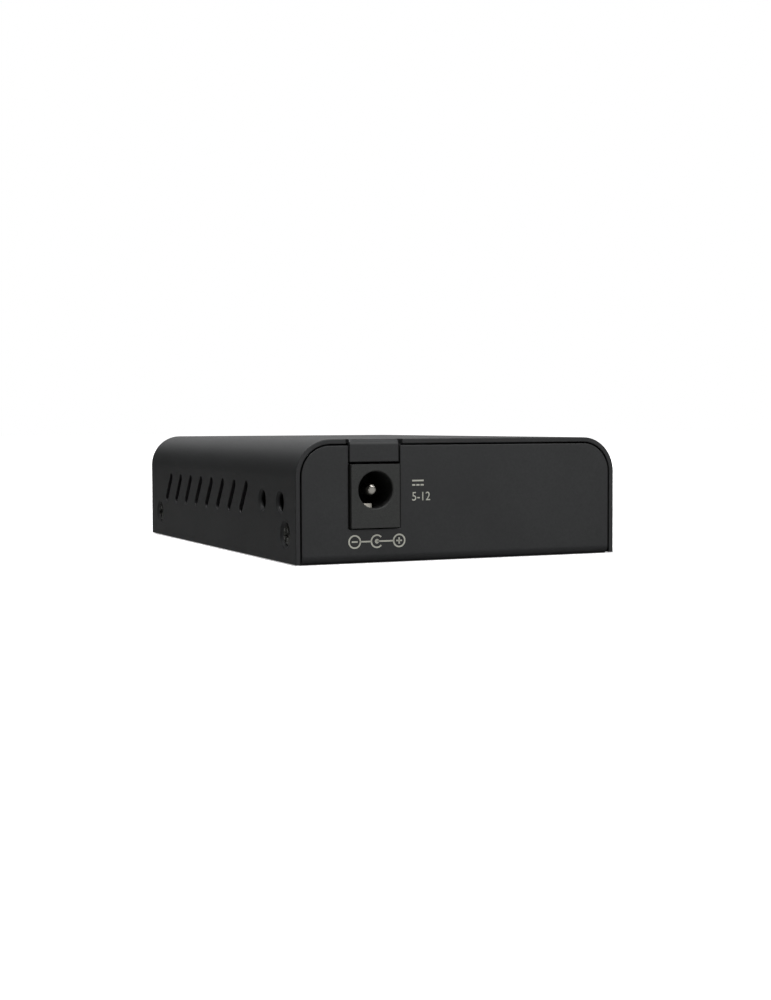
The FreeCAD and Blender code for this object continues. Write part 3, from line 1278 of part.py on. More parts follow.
for item in doc.Objects:
    if {"Invalid", "Error"} & set(item.State):
        raise RuntimeError(f"{item.Name} failed: {item.State}")
bodies = [item for item in doc.Objects if item.isDerivedFrom("PartDesign::Body")]
os.makedirs("parts", exist_ok=True)
for body in bodies:
    shape = body.Shape
    if shape.isNull() or not shape.isValid():
        raise RuntimeError(f"{body.Label} has no valid shape")
    shape.exportStep(f"parts/{body.Label}.step")
    print(f"{body.Label}: {len(shape.Solids)} solid(s), {shape.Volume:.1f} mm3")
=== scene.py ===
# %% [markdown]
# # Fibre media converter: dressing a sheet-metal box
# The solids of the part arrive as a fixed frame: a folded tray, a folded cover, the power inlet, the
# data sockets and the electronics between them. This lesson gives each piece the finish of the real
# one, redraws the small repeated pieces with Geometry Nodes, and lights the box softly. Lengths are
# in metres, +Z is up, the power inlet faces +Y.

# %% Load the frame
import math
import bpy
import bmesh
from mathutils import Matrix, Vector


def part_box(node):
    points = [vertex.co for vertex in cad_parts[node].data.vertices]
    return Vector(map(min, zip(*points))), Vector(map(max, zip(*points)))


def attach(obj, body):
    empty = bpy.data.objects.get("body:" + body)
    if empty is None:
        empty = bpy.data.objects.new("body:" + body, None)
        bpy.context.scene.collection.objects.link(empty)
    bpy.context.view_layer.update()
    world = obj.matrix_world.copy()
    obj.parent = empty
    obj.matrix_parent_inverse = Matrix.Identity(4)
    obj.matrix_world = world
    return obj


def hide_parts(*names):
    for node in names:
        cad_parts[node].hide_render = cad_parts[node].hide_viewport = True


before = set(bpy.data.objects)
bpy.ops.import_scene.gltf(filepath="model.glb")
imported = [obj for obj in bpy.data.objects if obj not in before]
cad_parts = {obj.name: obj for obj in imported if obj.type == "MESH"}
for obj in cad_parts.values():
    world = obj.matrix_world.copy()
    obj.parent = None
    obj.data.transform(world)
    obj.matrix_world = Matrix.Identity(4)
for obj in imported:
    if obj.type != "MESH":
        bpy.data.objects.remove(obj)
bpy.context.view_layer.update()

MM = 0.001

# %% [markdown]
# ## The camera
# A product shot of a small box is taken from close to table height with a moderately long lens, so
# that the uprights stay nearly parallel. The camera stands beyond the rear left corner, turned about
# 24 degrees off the box's length.

# %% Place the camera
CAMERA_PLACE = Vector((122.4, 289.9, 23.9)) * MM
CAMERA_HEADING = math.radians(156.23)
CAMERA_DIP = math.radians(2.8)
CAMERA_ROLL = math.radians(-0.23)
SENSOR_WIDTH = 36.0     # millimetres, as the lens's focal length is
FOCAL_LENGTH = 56.22
NEAREST_SEEN = 10 * MM

lens = bpy.data.cameras.new("camera")
lens.sensor_width = SENSOR_WIDTH
lens.lens = FOCAL_LENGTH
lens.clip_start = NEAREST_SEEN
camera = bpy.data.objects.new("camera", lens)
bpy.context.scene.collection.objects.link(camera)
turn = (Matrix.Rotation(CAMERA_HEADING, 4, "Z") @ Matrix.Rotation(math.pi / 2 - CAMERA_DIP, 4, "X")
        @ Matrix.Rotation(CAMERA_ROLL, 4, "Z"))
camera.matrix_world = Matrix.Translation(CAMERA_PLACE) @ turn
bpy.context.scene.camera = camera
print("camera at", tuple(round(v, 4) for v in camera.location))

# %% [markdown]
# ## One way to write a node tree
# Every finish and every generated piece below is a tree of nodes. One small function adds a node,
# sets it up and links it, so a tree reads as a list of steps. Colours are written as sRGB hex, as a
# paint chart gives them, and turned to the linear values that the renderer mixes.

# %% Helpers for colours and nodes
# A colour Mix and a Map Range have several sockets of one name, so those are called by number.
FACTOR, TONE_A, TONE_B = 0, 6, 7
MIXED_TONE = 2
FROM_MIN, FROM_MAX, TO_MIN, TO_MAX = 1, 2, 3, 4


def linear(hex_code):
    """An sRGB hex colour as linear red, green, blue and an alpha of one."""
    parts = [int(hex_code[i:i + 2], 16) / 255 for i in (0, 2, 4)]
    return tuple(p / 12.92 if p <= 0.04045 else ((p + 0.055) / 1.055) ** 2.4 for p in parts) + (1.0,)


def add(tree, kind, inputs=None, **settings):
    """Adds a node with its settings; an input is a plain value or another node's output."""
    made = tree.nodes.new(kind)
    for name, value in settings.items():
        setattr(made, name, value)
    for key, value in (inputs or {}).items():
        if isinstance(value, bpy.types.NodeSocket):
            tree.links.new(value, made.inputs[key])
        else:
            made.inputs[key].default_value = value
    return made


def per_metre(millimetres):
    """The scale of a pattern whose grains are that many millimetres across."""
    return 1000 / millimetres


def start_material(name):
    """An empty material with its output, and the place on the piece as coordinates."""
    material = bpy.data.materials.new(name)
    material.use_nodes = True
    tree = material.node_tree
    tree.nodes.clear()
    output = add(tree, "ShaderNodeOutputMaterial")
    place = add(tree, "ShaderNodeTexCoord").outputs["Object"]
    return material, tree, output, place


# %% [markdown]
# ## Powder-coated steel
# The cover is 0.8 mm steel and the tray 1 mm, folded and then sprayed with a black polyester powder
# that is baked on. The powder melts into a soft, finely pebbled skin: dark grey rather than black,
# satin, and paler where light grazes it. A slow drift of tone, nearly two centimetres across, keeps
# the large faces from looking flat. A Bevel node rounds the look of the cut edges, because shearing
# rolls them and powder flows over them.

# %% The powder coat
PEBBLE_SIZE = 0.35              # millimetres, like the other two
DRIFT_SIZE = 18.0
EDGE_ROUNDING = 0.26


def powder_coat(name, tones, rough):
    """A pebbled, baked powder skin between two tones and two roughnesses."""
    material, tree, output, place = start_material(name)
    pebbles = add(tree, "ShaderNodeTexNoise", {
        "Vector": place, "Scale": per_metre(PEBBLE_SIZE), "Detail": 3.0, "Roughness": 0.55})
    drift = add(tree, "ShaderNodeTexNoise", {
        "Vector": place, "Scale": per_metre(DRIFT_SIZE), "Detail": 2.0})
    cloud = add(tree, "ShaderNodeMath", {0: pebbles.outputs[0], 1: drift.outputs[0]}, operation="MULTIPLY")
    spread = add(tree, "ShaderNodeMapRange", {0: cloud.outputs[0], FROM_MIN: 0.12, FROM_MAX: 0.40})
    gloss = add(tree, "ShaderNodeMapRange", {0: pebbles.outputs[0], TO_MIN: rough[0], TO_MAX: rough[1]})
    rounded = add(tree, "ShaderNodeBevel", {"Radius": EDGE_ROUNDING * MM}, samples=8)
    bump = add(tree, "ShaderNodeBump", {
        "Height": pebbles.outputs[0], "Strength": 0.35, "Distance": 0.02 * MM,
        "Normal": rounded.outputs[0]})
    tone = add(tree, "ShaderNodeMix", {
        FACTOR: spread.outputs[0], TONE_A: linear(tones[0]), TONE_B: linear(tones[1])}, data_type="RGBA")
    skin = add(tree, "ShaderNodeBsdfPrincipled", {
        "Base Color": tone.outputs[MIXED_TONE], "Roughness": gloss.outputs[0], "Specular IOR Level": 0.42,
        "Normal": bump.outputs[0]})
    tree.links.new(skin.outputs[0], output.inputs["Surface"])
    return material


finishes = {"black_powder_coat": powder_coat("black_powder_coat", ("252627", "2D2E2F"), (0.44, 0.56))}

# %% [markdown]
# ## Plastics, metals and fired parts
# The other pieces share a few families of finish. A moulded plastic carries the fine spark-eroded
# grain of its mould; a plated metal has faint streaks from drawing or turning; a fired ceramic is
# matt with a sugary grain. One function builds the family's tree from its tones, its grain in
# millimetres and its gloss, and each finish below is then a named recipe. Metals keep the default
# index of refraction.

# %% A grained surface
# Painted shade in a hollow: it sets in where this share of the sky is open, and is full at the second share.
SHADE_STARTS, SHADE_ENDS = 0.9, 0.5


def grained(name, tones, grain, rough, depth=0.004, metallic=0.0, stretch=(1, 1, 1), specular=0.5,
            rounding=0.06, hollow=0.0, least_light=0.25):
    """Colour, gloss and height that follow one grain; stretch draws the grain out along an axis.

    With a hollow's width in millimetres, painted shade darkens the colour inside holes of about that
    width, down to least_light of its colour.
    """
    material, tree, output, place = start_material(name)
    drawn = add(tree, "ShaderNodeMapping", {"Vector": place, "Scale": stretch})
    grain_map = add(tree, "ShaderNodeTexNoise", {
        "Vector": drawn.outputs[0], "Scale": per_metre(grain), "Detail": 3.0, "Roughness": 0.6})
    contrast = add(tree, "ShaderNodeMapRange", {0: grain_map.outputs[0], FROM_MIN: 0.3, FROM_MAX: 0.7})
    gloss = add(tree, "ShaderNodeMapRange", {0: grain_map.outputs[0], TO_MIN: rough[0], TO_MAX: rough[1]})
    rounded = add(tree, "ShaderNodeBevel", {"Radius": rounding * MM}, samples=4)
    bump = add(tree, "ShaderNodeBump", {
        "Height": grain_map.outputs[0], "Strength": 0.5, "Distance": depth * MM,
        "Normal": rounded.outputs[0]})
    tone = add(tree, "ShaderNodeMix", {
        FACTOR: contrast.outputs[0], TONE_A: linear(tones[0]), TONE_B: linear(tones[1])}, data_type="RGBA")
    skin = add(tree, "ShaderNodeBsdfPrincipled", {
        "Base Color": tone.outputs[MIXED_TONE], "Metallic": metallic, "Roughness": gloss.outputs[0],
        "Specular IOR Level": specular, "Normal": bump.outputs[0]})
    # painted shade: an Ambient Occlusion node darkens the base colour where little sky is open, standing in
    # for the shade inside holes
    if hollow:
        open_sky = add(tree, "ShaderNodeAmbientOcclusion", {"Distance": hollow * MM}, samples=8)
        lit_share = add(tree, "ShaderNodeMapRange", {
            0: open_sky.outputs["AO"], FROM_MIN: SHADE_ENDS, FROM_MAX: SHADE_STARTS, TO_MIN: least_light})
        painted_shade_tone = add(tree, "ShaderNodeMix", {
            FACTOR: lit_share.outputs[0], TONE_A: (0, 0, 0, 1), TONE_B: tone.outputs[MIXED_TONE]},
            data_type="RGBA")
        tree.links.new(painted_shade_tone.outputs[MIXED_TONE], skin.inputs["Base Color"])
    tree.links.new(skin.outputs[0], output.inputs["Surface"])
    return material


# %% The recipes
recipes = {
    # black zinc over steel: dark and a little oily; painted shade makes it blacker down in the cross recess
    "black_zinc_screw": dict(tones=("474846", "63645F"), grain=0.12, rough=(0.2, 0.32), metallic=0.9,
                             hollow=1.4),
    # bright zinc: bluish, softly streaked
    "bright_zinc_screw": dict(tones=("B8BABB", "CDCECE"), grain=0.2, rough=(0.25, 0.4), metallic=1.0),
    # glass-filled nylon of the inlet: dark and matt with a fine mould grain; painted shade darkens it where
    # light can't reach
    "moulded_nylon": dict(tones=("363736", "404140"), grain=0.18, rough=(0.56, 0.68), depth=0.01,
                          rounding=0.1, specular=0.22, hollow=7.0, least_light=0.5),
    # the inlet's pin, tumbled and plated bright, so its tip looks rounded and mirrors the lamps
    "bright_nickel_pin": dict(tones=("E2DED5", "EFEBE2"), grain=0.3, rough=(0.05, 0.1), metallic=1.0,
                              rounding=0.45),
    # nickel over brass: warm white metal
    "nickel_plate": dict(tones=("CDC9C0", "DEDAD1"), grain=0.3, rough=(0.12, 0.2), metallic=1.0),
    # the sprung leaf's duller nickel, rolled before it was bent
    "rolled_nickel": dict(tones=("6B6963", "8A8780"), grain=0.25, rough=(0.3, 0.42), metallic=1.0),
    # the drawn tin can of the copper socket, streaked along its length
    "tin_plate": dict(tones=("BDBEBE", "D0D0CF"), grain=0.25, rough=(0.22, 0.36), metallic=1.0,
                      stretch=(1, 0.08, 1)),
    # tinned copper leads
    "tinned_lead": dict(tones=("B5B6B5", "C9C9C7"), grain=0.15, rough=(0.3, 0.45), metallic=1.0),
    # turned brass, ringed by the tool round an upright axis
    "turned_brass": dict(tones=("B08C42", "C9A55A"), grain=0.12, rough=(0.24, 0.36), metallic=1.0,
                         stretch=(0.2, 0.2, 1)),
    # glass-filled polyester of the data sockets
    "socket_polyester": dict(tones=("1F2021", "2A2B2C"), grain=0.15, rough=(0.42, 0.55), depth=0.008),
    # gold flashed over phosphor bronze
    "gold_flash": dict(tones=("C99B3B", "DDB257"), grain=0.2, rough=(0.18, 0.3), metallic=1.0,
                       stretch=(1, 0.2, 1)),
    # the optical module's housing
    "module_polymer": dict(tones=("222427", "2C2E31"), grain=0.2, rough=(0.4, 0.52), depth=0.008),
    # ground steel of the alignment sleeves
    "ground_sleeve": dict(tones=("BEBFBF", "D2D2D0"), grain=0.1, rough=(0.18, 0.28), metallic=1.0,
                          stretch=(1, 0.1, 1)),
    # epoxy of the chips: black with a sugary sparkle of silica
    "moulding_epoxy": dict(tones=("222224", "323234"), grain=0.08, rough=(0.45, 0.62), depth=0.01),
    # drawn nickel silver of the crystal's can
    "drawn_can": dict(tones=("C2C2BE", "D3D2CE"), grain=0.25, rough=(0.2, 0.32), metallic=1.0,
                      stretch=(0.15, 1, 1)),
    # extruded aluminium of the electrolytic cans
    "extruded_aluminium": dict(tones=("C4C6C8", "D8DADB"), grain=0.2, rough=(0.28, 0.4), metallic=1.0,
                               stretch=(1, 1, 0.1)),
    # sintered ferrite: grey-black and dull
    "sintered_ferrite": dict(tones=("38383A", "4A4A4B"), grain=0.14, rough=(0.6, 0.75), depth=0.012),
    # fired ceramic of the fuse and the chip parts
    "fired_ceramic": dict(tones=("B7A88C", "CBBE9F"), grain=0.12, rough=(0.45, 0.6), depth=0.008),
}
for name, recipe in recipes.items():
    finishes[name] = grained(name, **recipe)
print("finishes:", len(finishes))

# %% [markdown]
# ## The circuit board
# Glass cloth in epoxy under a green solder mask. Copper tracks lie under the mask and show as paler,
# slightly raised lines, so the board gets a pattern of fine tracks over a faint weave of the glass.

# %% The board's solder mask
TRACK_GRID, WEAVE_PITCH = 6.0, 2.0      # millimetres
material, tree, output, place = start_material("green_solder_mask")
tracks = add(tree, "ShaderNodeTexBrick", {
    "Vector": place, "Scale": per_metre(TRACK_GRID), "Mortar Size": 0.045, "Mortar Smooth": 0.2,
    "Brick Width": 0.62, "Row Height": 0.31})
weave = add(tree, "ShaderNodeTexWave", {"Vector": place, "Scale": per_metre(WEAVE_PITCH), "Distortion": 0.4})
green = add(tree, "ShaderNodeMix", {
    FACTOR: tracks.outputs["Fac"], TONE_A: linear("14482B"), TONE_B: linear("1E6B3C")}, data_type="RGBA")
height = add(tree, "ShaderNodeMath", {0: tracks.outputs["Fac"], 1: weave.outputs["Fac"], 2: 0.0},
             operation="MULTIPLY_ADD")
relief = add(tree, "ShaderNodeBump", {"Height": height.outputs[0], "Strength": 0.4, "Distance": 0.03 * MM})
skin = add(tree, "ShaderNodeBsdfPrincipled", {
    "Base Color": green.outputs[MIXED_TONE], "Roughness": 0.32, "Normal": relief.outputs[0]})
tree.links.new(skin.outputs[0], output.inputs["Surface"])
finishes["green_solder_mask"] = material

# %% [markdown]
# ## The lamps' resin
# An indicator lamp is cast from clear epoxy with a little green dye. Light passes through it and
# leaves it milky, so the shader transmits part of the light and scatters the rest.

# %% The lamp resin
CLOUD_SIZE = 1.2                # millimetres
material, tree, output, place = start_material("dyed_resin")
cloud = add(tree, "ShaderNodeTexNoise", {"Vector": place, "Scale": per_metre(CLOUD_SIZE), "Detail": 2.0})
tint = add(tree, "ShaderNodeMix", {
    FACTOR: cloud.outputs[0], TONE_A: linear("8FBF86"), TONE_B: linear("B6DBA9")}, data_type="RGBA")
skin = add(tree, "ShaderNodeBsdfPrincipled", {
    "Base Color": tint.outputs[MIXED_TONE], "Roughness": 0.12, "IOR": 1.52, "Transmission Weight": 0.45})
tree.links.new(skin.outputs[0], output.inputs["Surface"])
finishes["dyed_resin"] = material

# %% [markdown]
# ## Which piece has which finish
# The solids keep their own shapes, so they only need their materials. The table reads like a parts
# list.

# %% Dress the solids
dress = {
    "top_cover": "black_powder_coat", "base_tray": "black_powder_coat",
    "cover_screws": "black_zinc_screw", "board_screws": "bright_zinc_screw",
    "board_standoffs": "turned_brass", "circuit_board": "green_solder_mask",
    "dc_jack_body": "moulded_nylon", "dc_jack_pin": "bright_nickel_pin",
    "dc_jack_plate": "nickel_plate", "dc_jack_leaf": "rolled_nickel",
    "rj45_shield": "tin_plate", "rj45_insert": "socket_polyester",
    "rj45_carrier": "socket_polyester", "rj45_contacts": "gold_flash",
    "fibre_housing": "module_polymer", "fibre_barrels": "ground_sleeve",
    "fibre_latches": "module_polymer", "fibre_header_pins": "tinned_lead",
    "lamp_holder": "socket_polyester", "indicator_lamps": "dyed_resin", "lamp_leads": "tinned_lead",
    "converter_chip": "moulding_epoxy", "converter_chip_leads": "tinned_lead",
    "line_transformer": "moulding_epoxy", "line_transformer_leads": "tinned_lead",
    "regulator_chip": "moulding_epoxy", "regulator_chip_leads": "tinned_lead",
    "memory_chip": "moulding_epoxy", "memory_chip_leads": "tinned_lead",
    "input_diode": "moulding_epoxy", "input_diode_leads": "tinned_lead",
    "crystal_base": "moulding_epoxy", "crystal_can": "drawn_can",
    "capacitor_bases": "moulding_epoxy", "capacitor_cans": "extruded_aluminium",
    "power_inductor": "sintered_ferrite", "input_fuse": "fired_ceramic",
    "chip_resistors": "fired_ceramic", "chip_capacitors": "fired_ceramic",
}
for node, finish in dress.items():
    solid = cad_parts[node]
    solid.data.materials.clear()
    solid.data.materials.append(finishes[finish])
print("dressed", len(dress), "solids; without a finish:", set(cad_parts) - set(dress))

# %% [markdown]
# ## Screws and lamps from trees
# The four cover screws and the five board screws are one design in two sets of sizes: a head that
# runs from its rim to its neck, a low crown on top, a cross recess, and a shank with a rolled
# thread. The cover screws sit a little below the sheet, so the lower half of each crown and of each
# seat catches the light from above. The lamps are one design in a grid: a domed end, a straight body
# and a flange. Each design is a Geometry Nodes tree whose sizes are named inputs, so a screw of
# another length is a change of number. The thread is a helix swept by a small triangle.

# %% Words for generated pieces
def start_tree(name, sizes):
    """A Geometry Nodes tree with seats, named sizes and a material; gives its inputs and its output node."""
    tree = bpy.data.node_groups.new(name, "GeometryNodeTree")
    tree.interface.new_socket("Seats", in_out="INPUT", socket_type="NodeSocketGeometry")
    for size, kind in sizes:
        tree.interface.new_socket(size, in_out="INPUT", socket_type="NodeSocket" + kind)
    tree.interface.new_socket("Finish", in_out="INPUT", socket_type="NodeSocketMaterial")
    tree.interface.new_socket("Pieces", in_out="OUTPUT", socket_type="NodeSocketGeometry")
    given = add(tree, "NodeGroupInput").outputs
    return tree, given, add(tree, "NodeGroupOutput")


def grow(name, tree, seats, sizes, finish):
    """Runs a tree over seat points in metres and returns the result as a plain mesh object."""
    mesh = bpy.data.meshes.new(name + "_seats")
    mesh.from_pydata(seats, [], [])
    maker = bpy.data.objects.new(name + "_maker", mesh)
    bpy.context.scene.collection.objects.link(maker)
    modifier = maker.modifiers.new("grow", "NODES")
    modifier.node_group = tree
    values = dict(sizes, Finish=finish)
    for socket in tree.interface.items_tree:
        if socket.in_out == "INPUT" and socket.name in values:
            modifier[socket.identifier] = values[socket.name]
    bpy.context.view_layer.update()
    ready = maker.evaluated_get(bpy.context.evaluated_depsgraph_get())
    piece = bpy.data.objects.new(name, bpy.data.meshes.new_from_object(ready))
    piece.data.name = name
    maker.modifiers.remove(modifier)
    bpy.data.objects.remove(maker)
    bpy.context.scene.collection.objects.link(piece)
    return piece


def stand_in(piece, node):
    """Lets a generated piece ride with the box in place of a plain solid."""
    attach(piece, "root")
    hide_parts(node)
    print(piece.name, len(piece.data.polygons), "faces")


# %% The screw's tree: head and crown
HEAD_SIDES, SHANK_SIDES = 40, 24
tree, size, result = start_tree("driven_screw", [
    ("Head Radius", "Float"), ("Neck Radius", "Float"), ("Head Height", "Float"),
    ("Crown Radius", "Float"), ("Crown Height", "Float"), ("Thread Radius", "Float"),
    ("Thread Depth", "Float"), ("Pitch", "Float"), ("Length", "Float"), ("Recess Span", "Float"),
    ("Recess Slot", "Float"), ("Recess Depth", "Float"), ("Outward", "Vector")])
screw_tree = tree
head = add(tree, "GeometryNodeMeshCone", {
    "Vertices": HEAD_SIDES, "Radius Top": size["Head Radius"], "Radius Bottom": size["Neck Radius"],
    "Depth": size["Head Height"]})
below = add(tree, "ShaderNodeMath", {0: size["Head Height"], 1: -1.0}, operation="MULTIPLY")
sunk = add(tree, "ShaderNodeCombineXYZ", {"Z": below.outputs[0]})
set_head = add(tree, "GeometryNodeTransform", {
    "Geometry": head.outputs["Mesh"], "Translation": sunk.outputs[0]})
crown = add(tree, "GeometryNodeMeshCone", {
    "Vertices": HEAD_SIDES, "Radius Top": size["Crown Radius"], "Radius Bottom": size["Head Radius"],
    "Depth": size["Crown Height"]})
blank = add(tree, "GeometryNodeMeshBoolean", operation="UNION", solver="EXACT")
tree.links.new(set_head.outputs[0], blank.inputs["Mesh 2"])
tree.links.new(crown.outputs["Mesh"], blank.inputs["Mesh 2"])

# %% The screw's tree: the cross recess, cut by two crossed wedges that narrow downwards
TIP_SHARE = 0.4                 # the wedge's lower end as a share of its upper end
SINK_SHARE = 0.98               # how far the wedge goes in; the rest pokes out, to cut cleanly
half_diagonal = add(tree, "ShaderNodeMath", {0: size["Recess Span"], 1: math.sqrt(0.5)},
                    operation="MULTIPLY")
tip_diagonal = add(tree, "ShaderNodeMath", {0: half_diagonal.outputs[0], 1: TIP_SHARE},
                   operation="MULTIPLY")
wedge = add(tree, "GeometryNodeMeshCone", {
    "Vertices": 4, "Radius Top": half_diagonal.outputs[0], "Radius Bottom": tip_diagonal.outputs[0],
    "Depth": size["Recess Depth"]})
squared = add(tree, "GeometryNodeTransform", {
    "Geometry": wedge.outputs["Mesh"], "Rotation": (0, 0, math.pi / 4)})
thin = add(tree, "ShaderNodeMath", {0: size["Recess Slot"], 1: size["Recess Span"]}, operation="DIVIDE")
flat = add(tree, "ShaderNodeCombineXYZ", {"X": 1.0, "Y": thin.outputs[0], "Z": 1.0})
recess_low = add(tree, "ShaderNodeMath", {
    0: size["Recess Depth"], 1: -SINK_SHARE, 2: size["Crown Height"]}, operation="MULTIPLY_ADD")
recess_place = add(tree, "ShaderNodeCombineXYZ", {"Z": recess_low.outputs[0]})
slot_cut = add(tree, "GeometryNodeTransform", {
    "Geometry": squared.outputs[0], "Translation": recess_place.outputs[0], "Scale": flat.outputs[0]})
cross_cut = add(tree, "GeometryNodeTransform", {
    "Geometry": slot_cut.outputs[0], "Rotation": (0, 0, math.pi / 2)})
driven = add(tree, "GeometryNodeMeshBoolean", {"Mesh 1": blank.outputs["Mesh"]},
             operation="DIFFERENCE", solver="EXACT")
tree.links.new(slot_cut.outputs[0], driven.inputs["Mesh 2"])
tree.links.new(cross_cut.outputs[0], driven.inputs["Mesh 2"])

# %% The screw's tree: shank and thread
root = add(tree, "ShaderNodeMath", {0: size["Thread Radius"], 1: size["Thread Depth"]},
           operation="SUBTRACT")
reach = add(tree, "ShaderNodeMath", {0: size["Length"], 1: size["Head Height"]}, operation="SUBTRACT")
low = add(tree, "ShaderNodeMath", {0: size["Length"], 1: -1.0}, operation="MULTIPLY")
down = add(tree, "ShaderNodeCombineXYZ", {"Z": low.outputs[0]})
core = add(tree, "GeometryNodeMeshCone", {
    "Vertices": SHANK_SIDES, "Radius Top": root.outputs[0], "Radius Bottom": root.outputs[0],
    "Depth": reach.outputs[0]})
turns = add(tree, "ShaderNodeMath", {0: reach.outputs[0], 1: size["Pitch"]}, operation="DIVIDE")
helix = add(tree, "GeometryNodeCurveSpiral", {
    "Resolution": SHANK_SIDES, "Rotations": turns.outputs[0], "Start Radius": root.outputs[0],
    "End Radius": root.outputs[0], "Height": reach.outputs[0]})
ridge = add(tree, "GeometryNodeCurvePrimitiveCircle", {"Resolution": 3, "Radius": size["Thread Depth"]})
thread = add(tree, "GeometryNodeCurveToMesh", {
    "Curve": helix.outputs["Curve"], "Profile Curve": ridge.outputs["Curve"]})
shank = add(tree, "GeometryNodeJoinGeometry")
tree.links.new(core.outputs["Mesh"], shank.inputs[0])
tree.links.new(thread.outputs[0], shank.inputs[0])
set_shank = add(tree, "GeometryNodeTransform", {
    "Geometry": shank.outputs[0], "Translation": down.outputs[0]})
screw = add(tree, "GeometryNodeJoinGeometry")
tree.links.new(driven.outputs["Mesh"], screw.inputs[0])
tree.links.new(set_shank.outputs[0], screw.inputs[0])

# %% The screw's tree: one screw on each seat, facing outward and turned by chance as a driver leaves it
where = add(tree, "GeometryNodeInputPosition")
signs = add(tree, "ShaderNodeVectorMath", {0: where.outputs[0]}, operation="SIGN")
facing = add(tree, "ShaderNodeVectorMath", {0: signs.outputs[0], 1: size["Outward"]},
             operation="MULTIPLY")
upright = add(tree, "FunctionNodeAlignRotationToVector", {"Vector": facing.outputs[0]}, axis="Z")
chance = add(tree, "FunctionNodeRandomValue", {"Min": (0, 0, 0), "Max": (0, 0, math.pi / 2), "Seed": 7},
             data_type="FLOAT_VECTOR")
spin = add(tree, "FunctionNodeEulerToRotation", {0: chance.outputs[0]})
tightened = add(tree, "FunctionNodeRotateRotation", {0: upright.outputs[0], 1: spin.outputs[0]},
                rotation_space="LOCAL")
placed = add(tree, "GeometryNodeInstanceOnPoints", {
    "Points": size["Seats"], "Instance": screw.outputs[0], "Rotation": tightened.outputs[0]})
real = add(tree, "GeometryNodeRealizeInstances", {0: placed.outputs[0]})
finished = add(tree, "GeometryNodeSetMaterial", {"Geometry": real.outputs[0], "Material": size["Finish"]})
tree.links.new(finished.outputs[0], result.inputs[0])

# %% The cover screws: the rim sits a crown's height lower, where the right-angled seat is as much narrower
THREAD_RADIUS = 1.5 * MM
M3_SIZES = {"Thread Radius": THREAD_RADIUS, "Thread Depth": 0.25 * MM, "Pitch": 0.5 * MM,
            "Recess Slot": 0.9 * MM}
CROWN = 0.3 * MM
low_corner, high_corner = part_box("cover_screws")
level = (low_corner[2] + high_corner[2]) / 2
head_radius = (high_corner[2] - low_corner[2]) / 2
ends = (low_corner[1] + head_radius, high_corner[1] - head_radius)
cover_seats = [(side * (high_corner[0] - CROWN), end, level) for side in (-1, 1) for end in ends]
cover_screws = grow("countersunk_screws", screw_tree, cover_seats, {
    **M3_SIZES, "Head Radius": head_radius - CROWN, "Neck Radius": THREAD_RADIUS,
    "Head Height": 0.45 * MM, "Crown Radius": 1.25 * MM, "Crown Height": CROWN, "Length": 3.3 * MM,
    "Recess Span": 2.6 * MM, "Recess Depth": 0.72 * MM, "Outward": (1, 0, 0)},
    finishes["black_zinc_screw"])

# %% The board screws: two at the rear, two in the middle and one at the front
PAN_RADIUS, PAN_HEIGHT, DOME = 2.7 * MM, 1.8 * MM, 0.6 * MM
PAN_LENGTH = 6.0 * MM
HOLE_PITCH = 29 * MM            # front screw to the middle pair, along the board
FRONT_SCREW_X = 4.75 * MM
low_corner, high_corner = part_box("board_screws")
side = high_corner[0] - PAN_RADIUS
rear = high_corner[1] - PAN_RADIUS
front = low_corner[1] + PAN_RADIUS
middle = front + HOLE_PITCH
top = high_corner[2] - DOME
board_seats = [(side, rear, top), (-side, rear, top), (side, middle, top), (-side, middle, top),
               (FRONT_SCREW_X, front, top)]
board_screws = grow("pan_screws", screw_tree, board_seats, {
    **M3_SIZES, "Head Radius": PAN_RADIUS, "Neck Radius": PAN_RADIUS, "Head Height": PAN_HEIGHT - DOME,
    "Crown Radius": 1.9 * MM, "Crown Height": DOME, "Length": PAN_LENGTH - DOME,
    "Recess Span": 2.8 * MM, "Recess Depth": 1.1 * MM, "Outward": (0, 0, 1)},
    finishes["bright_zinc_screw"])
stand_in(cover_screws, "cover_screws")
stand_in(board_screws, "board_screws")

# %% The lamp's tree
LAMP_SIDES, DOME_RINGS = 32, 16
tree, size, result = start_tree("domed_lamp", [
    ("Radius", "Float"), ("Body Length", "Float"), ("Flange Radius", "Float"),
    ("Flange Length", "Float"), ("Columns", "Int"), ("Rows", "Int"), ("Pitch", "Float")])
lamp_tree = tree
dome = add(tree, "GeometryNodeMeshUVSphere", {
    "Segments": LAMP_SIDES, "Rings": DOME_RINGS, "Radius": size["Radius"]})
straight = add(tree, "GeometryNodeMeshCone", {
    "Vertices": LAMP_SIDES, "Radius Top": size["Radius"], "Radius Bottom": size["Radius"],
    "Depth": size["Body Length"]})
flange = add(tree, "GeometryNodeMeshCone", {
    "Vertices": LAMP_SIDES, "Radius Top": size["Flange Radius"], "Radius Bottom": size["Flange Radius"],
    "Depth": size["Flange Length"]})
behind = add(tree, "ShaderNodeMath", {0: size["Body Length"], 1: size["Flange Length"]},
             operation="SUBTRACT")
back = add(tree, "ShaderNodeCombineXYZ", {"Z": behind.outputs[0]})
set_flange = add(tree, "GeometryNodeTransform", {
    "Geometry": flange.outputs["Mesh"], "Translation": back.outputs[0]})
lamp = add(tree, "GeometryNodeMeshBoolean", operation="UNION", solver="EXACT")
for part in (dome.outputs["Mesh"], straight.outputs["Mesh"], set_flange.outputs[0]):
    tree.links.new(part, lamp.inputs["Mesh 2"])
wide = add(tree, "ShaderNodeMath", {0: size["Columns"], 1: -1.0}, operation="ADD")
tall = add(tree, "ShaderNodeMath", {0: size["Rows"], 1: -1.0}, operation="ADD")
span = add(tree, "ShaderNodeMath", {0: wide.outputs[0], 1: size["Pitch"]}, operation="MULTIPLY")
rise = add(tree, "ShaderNodeMath", {0: tall.outputs[0], 1: size["Pitch"]}, operation="MULTIPLY")
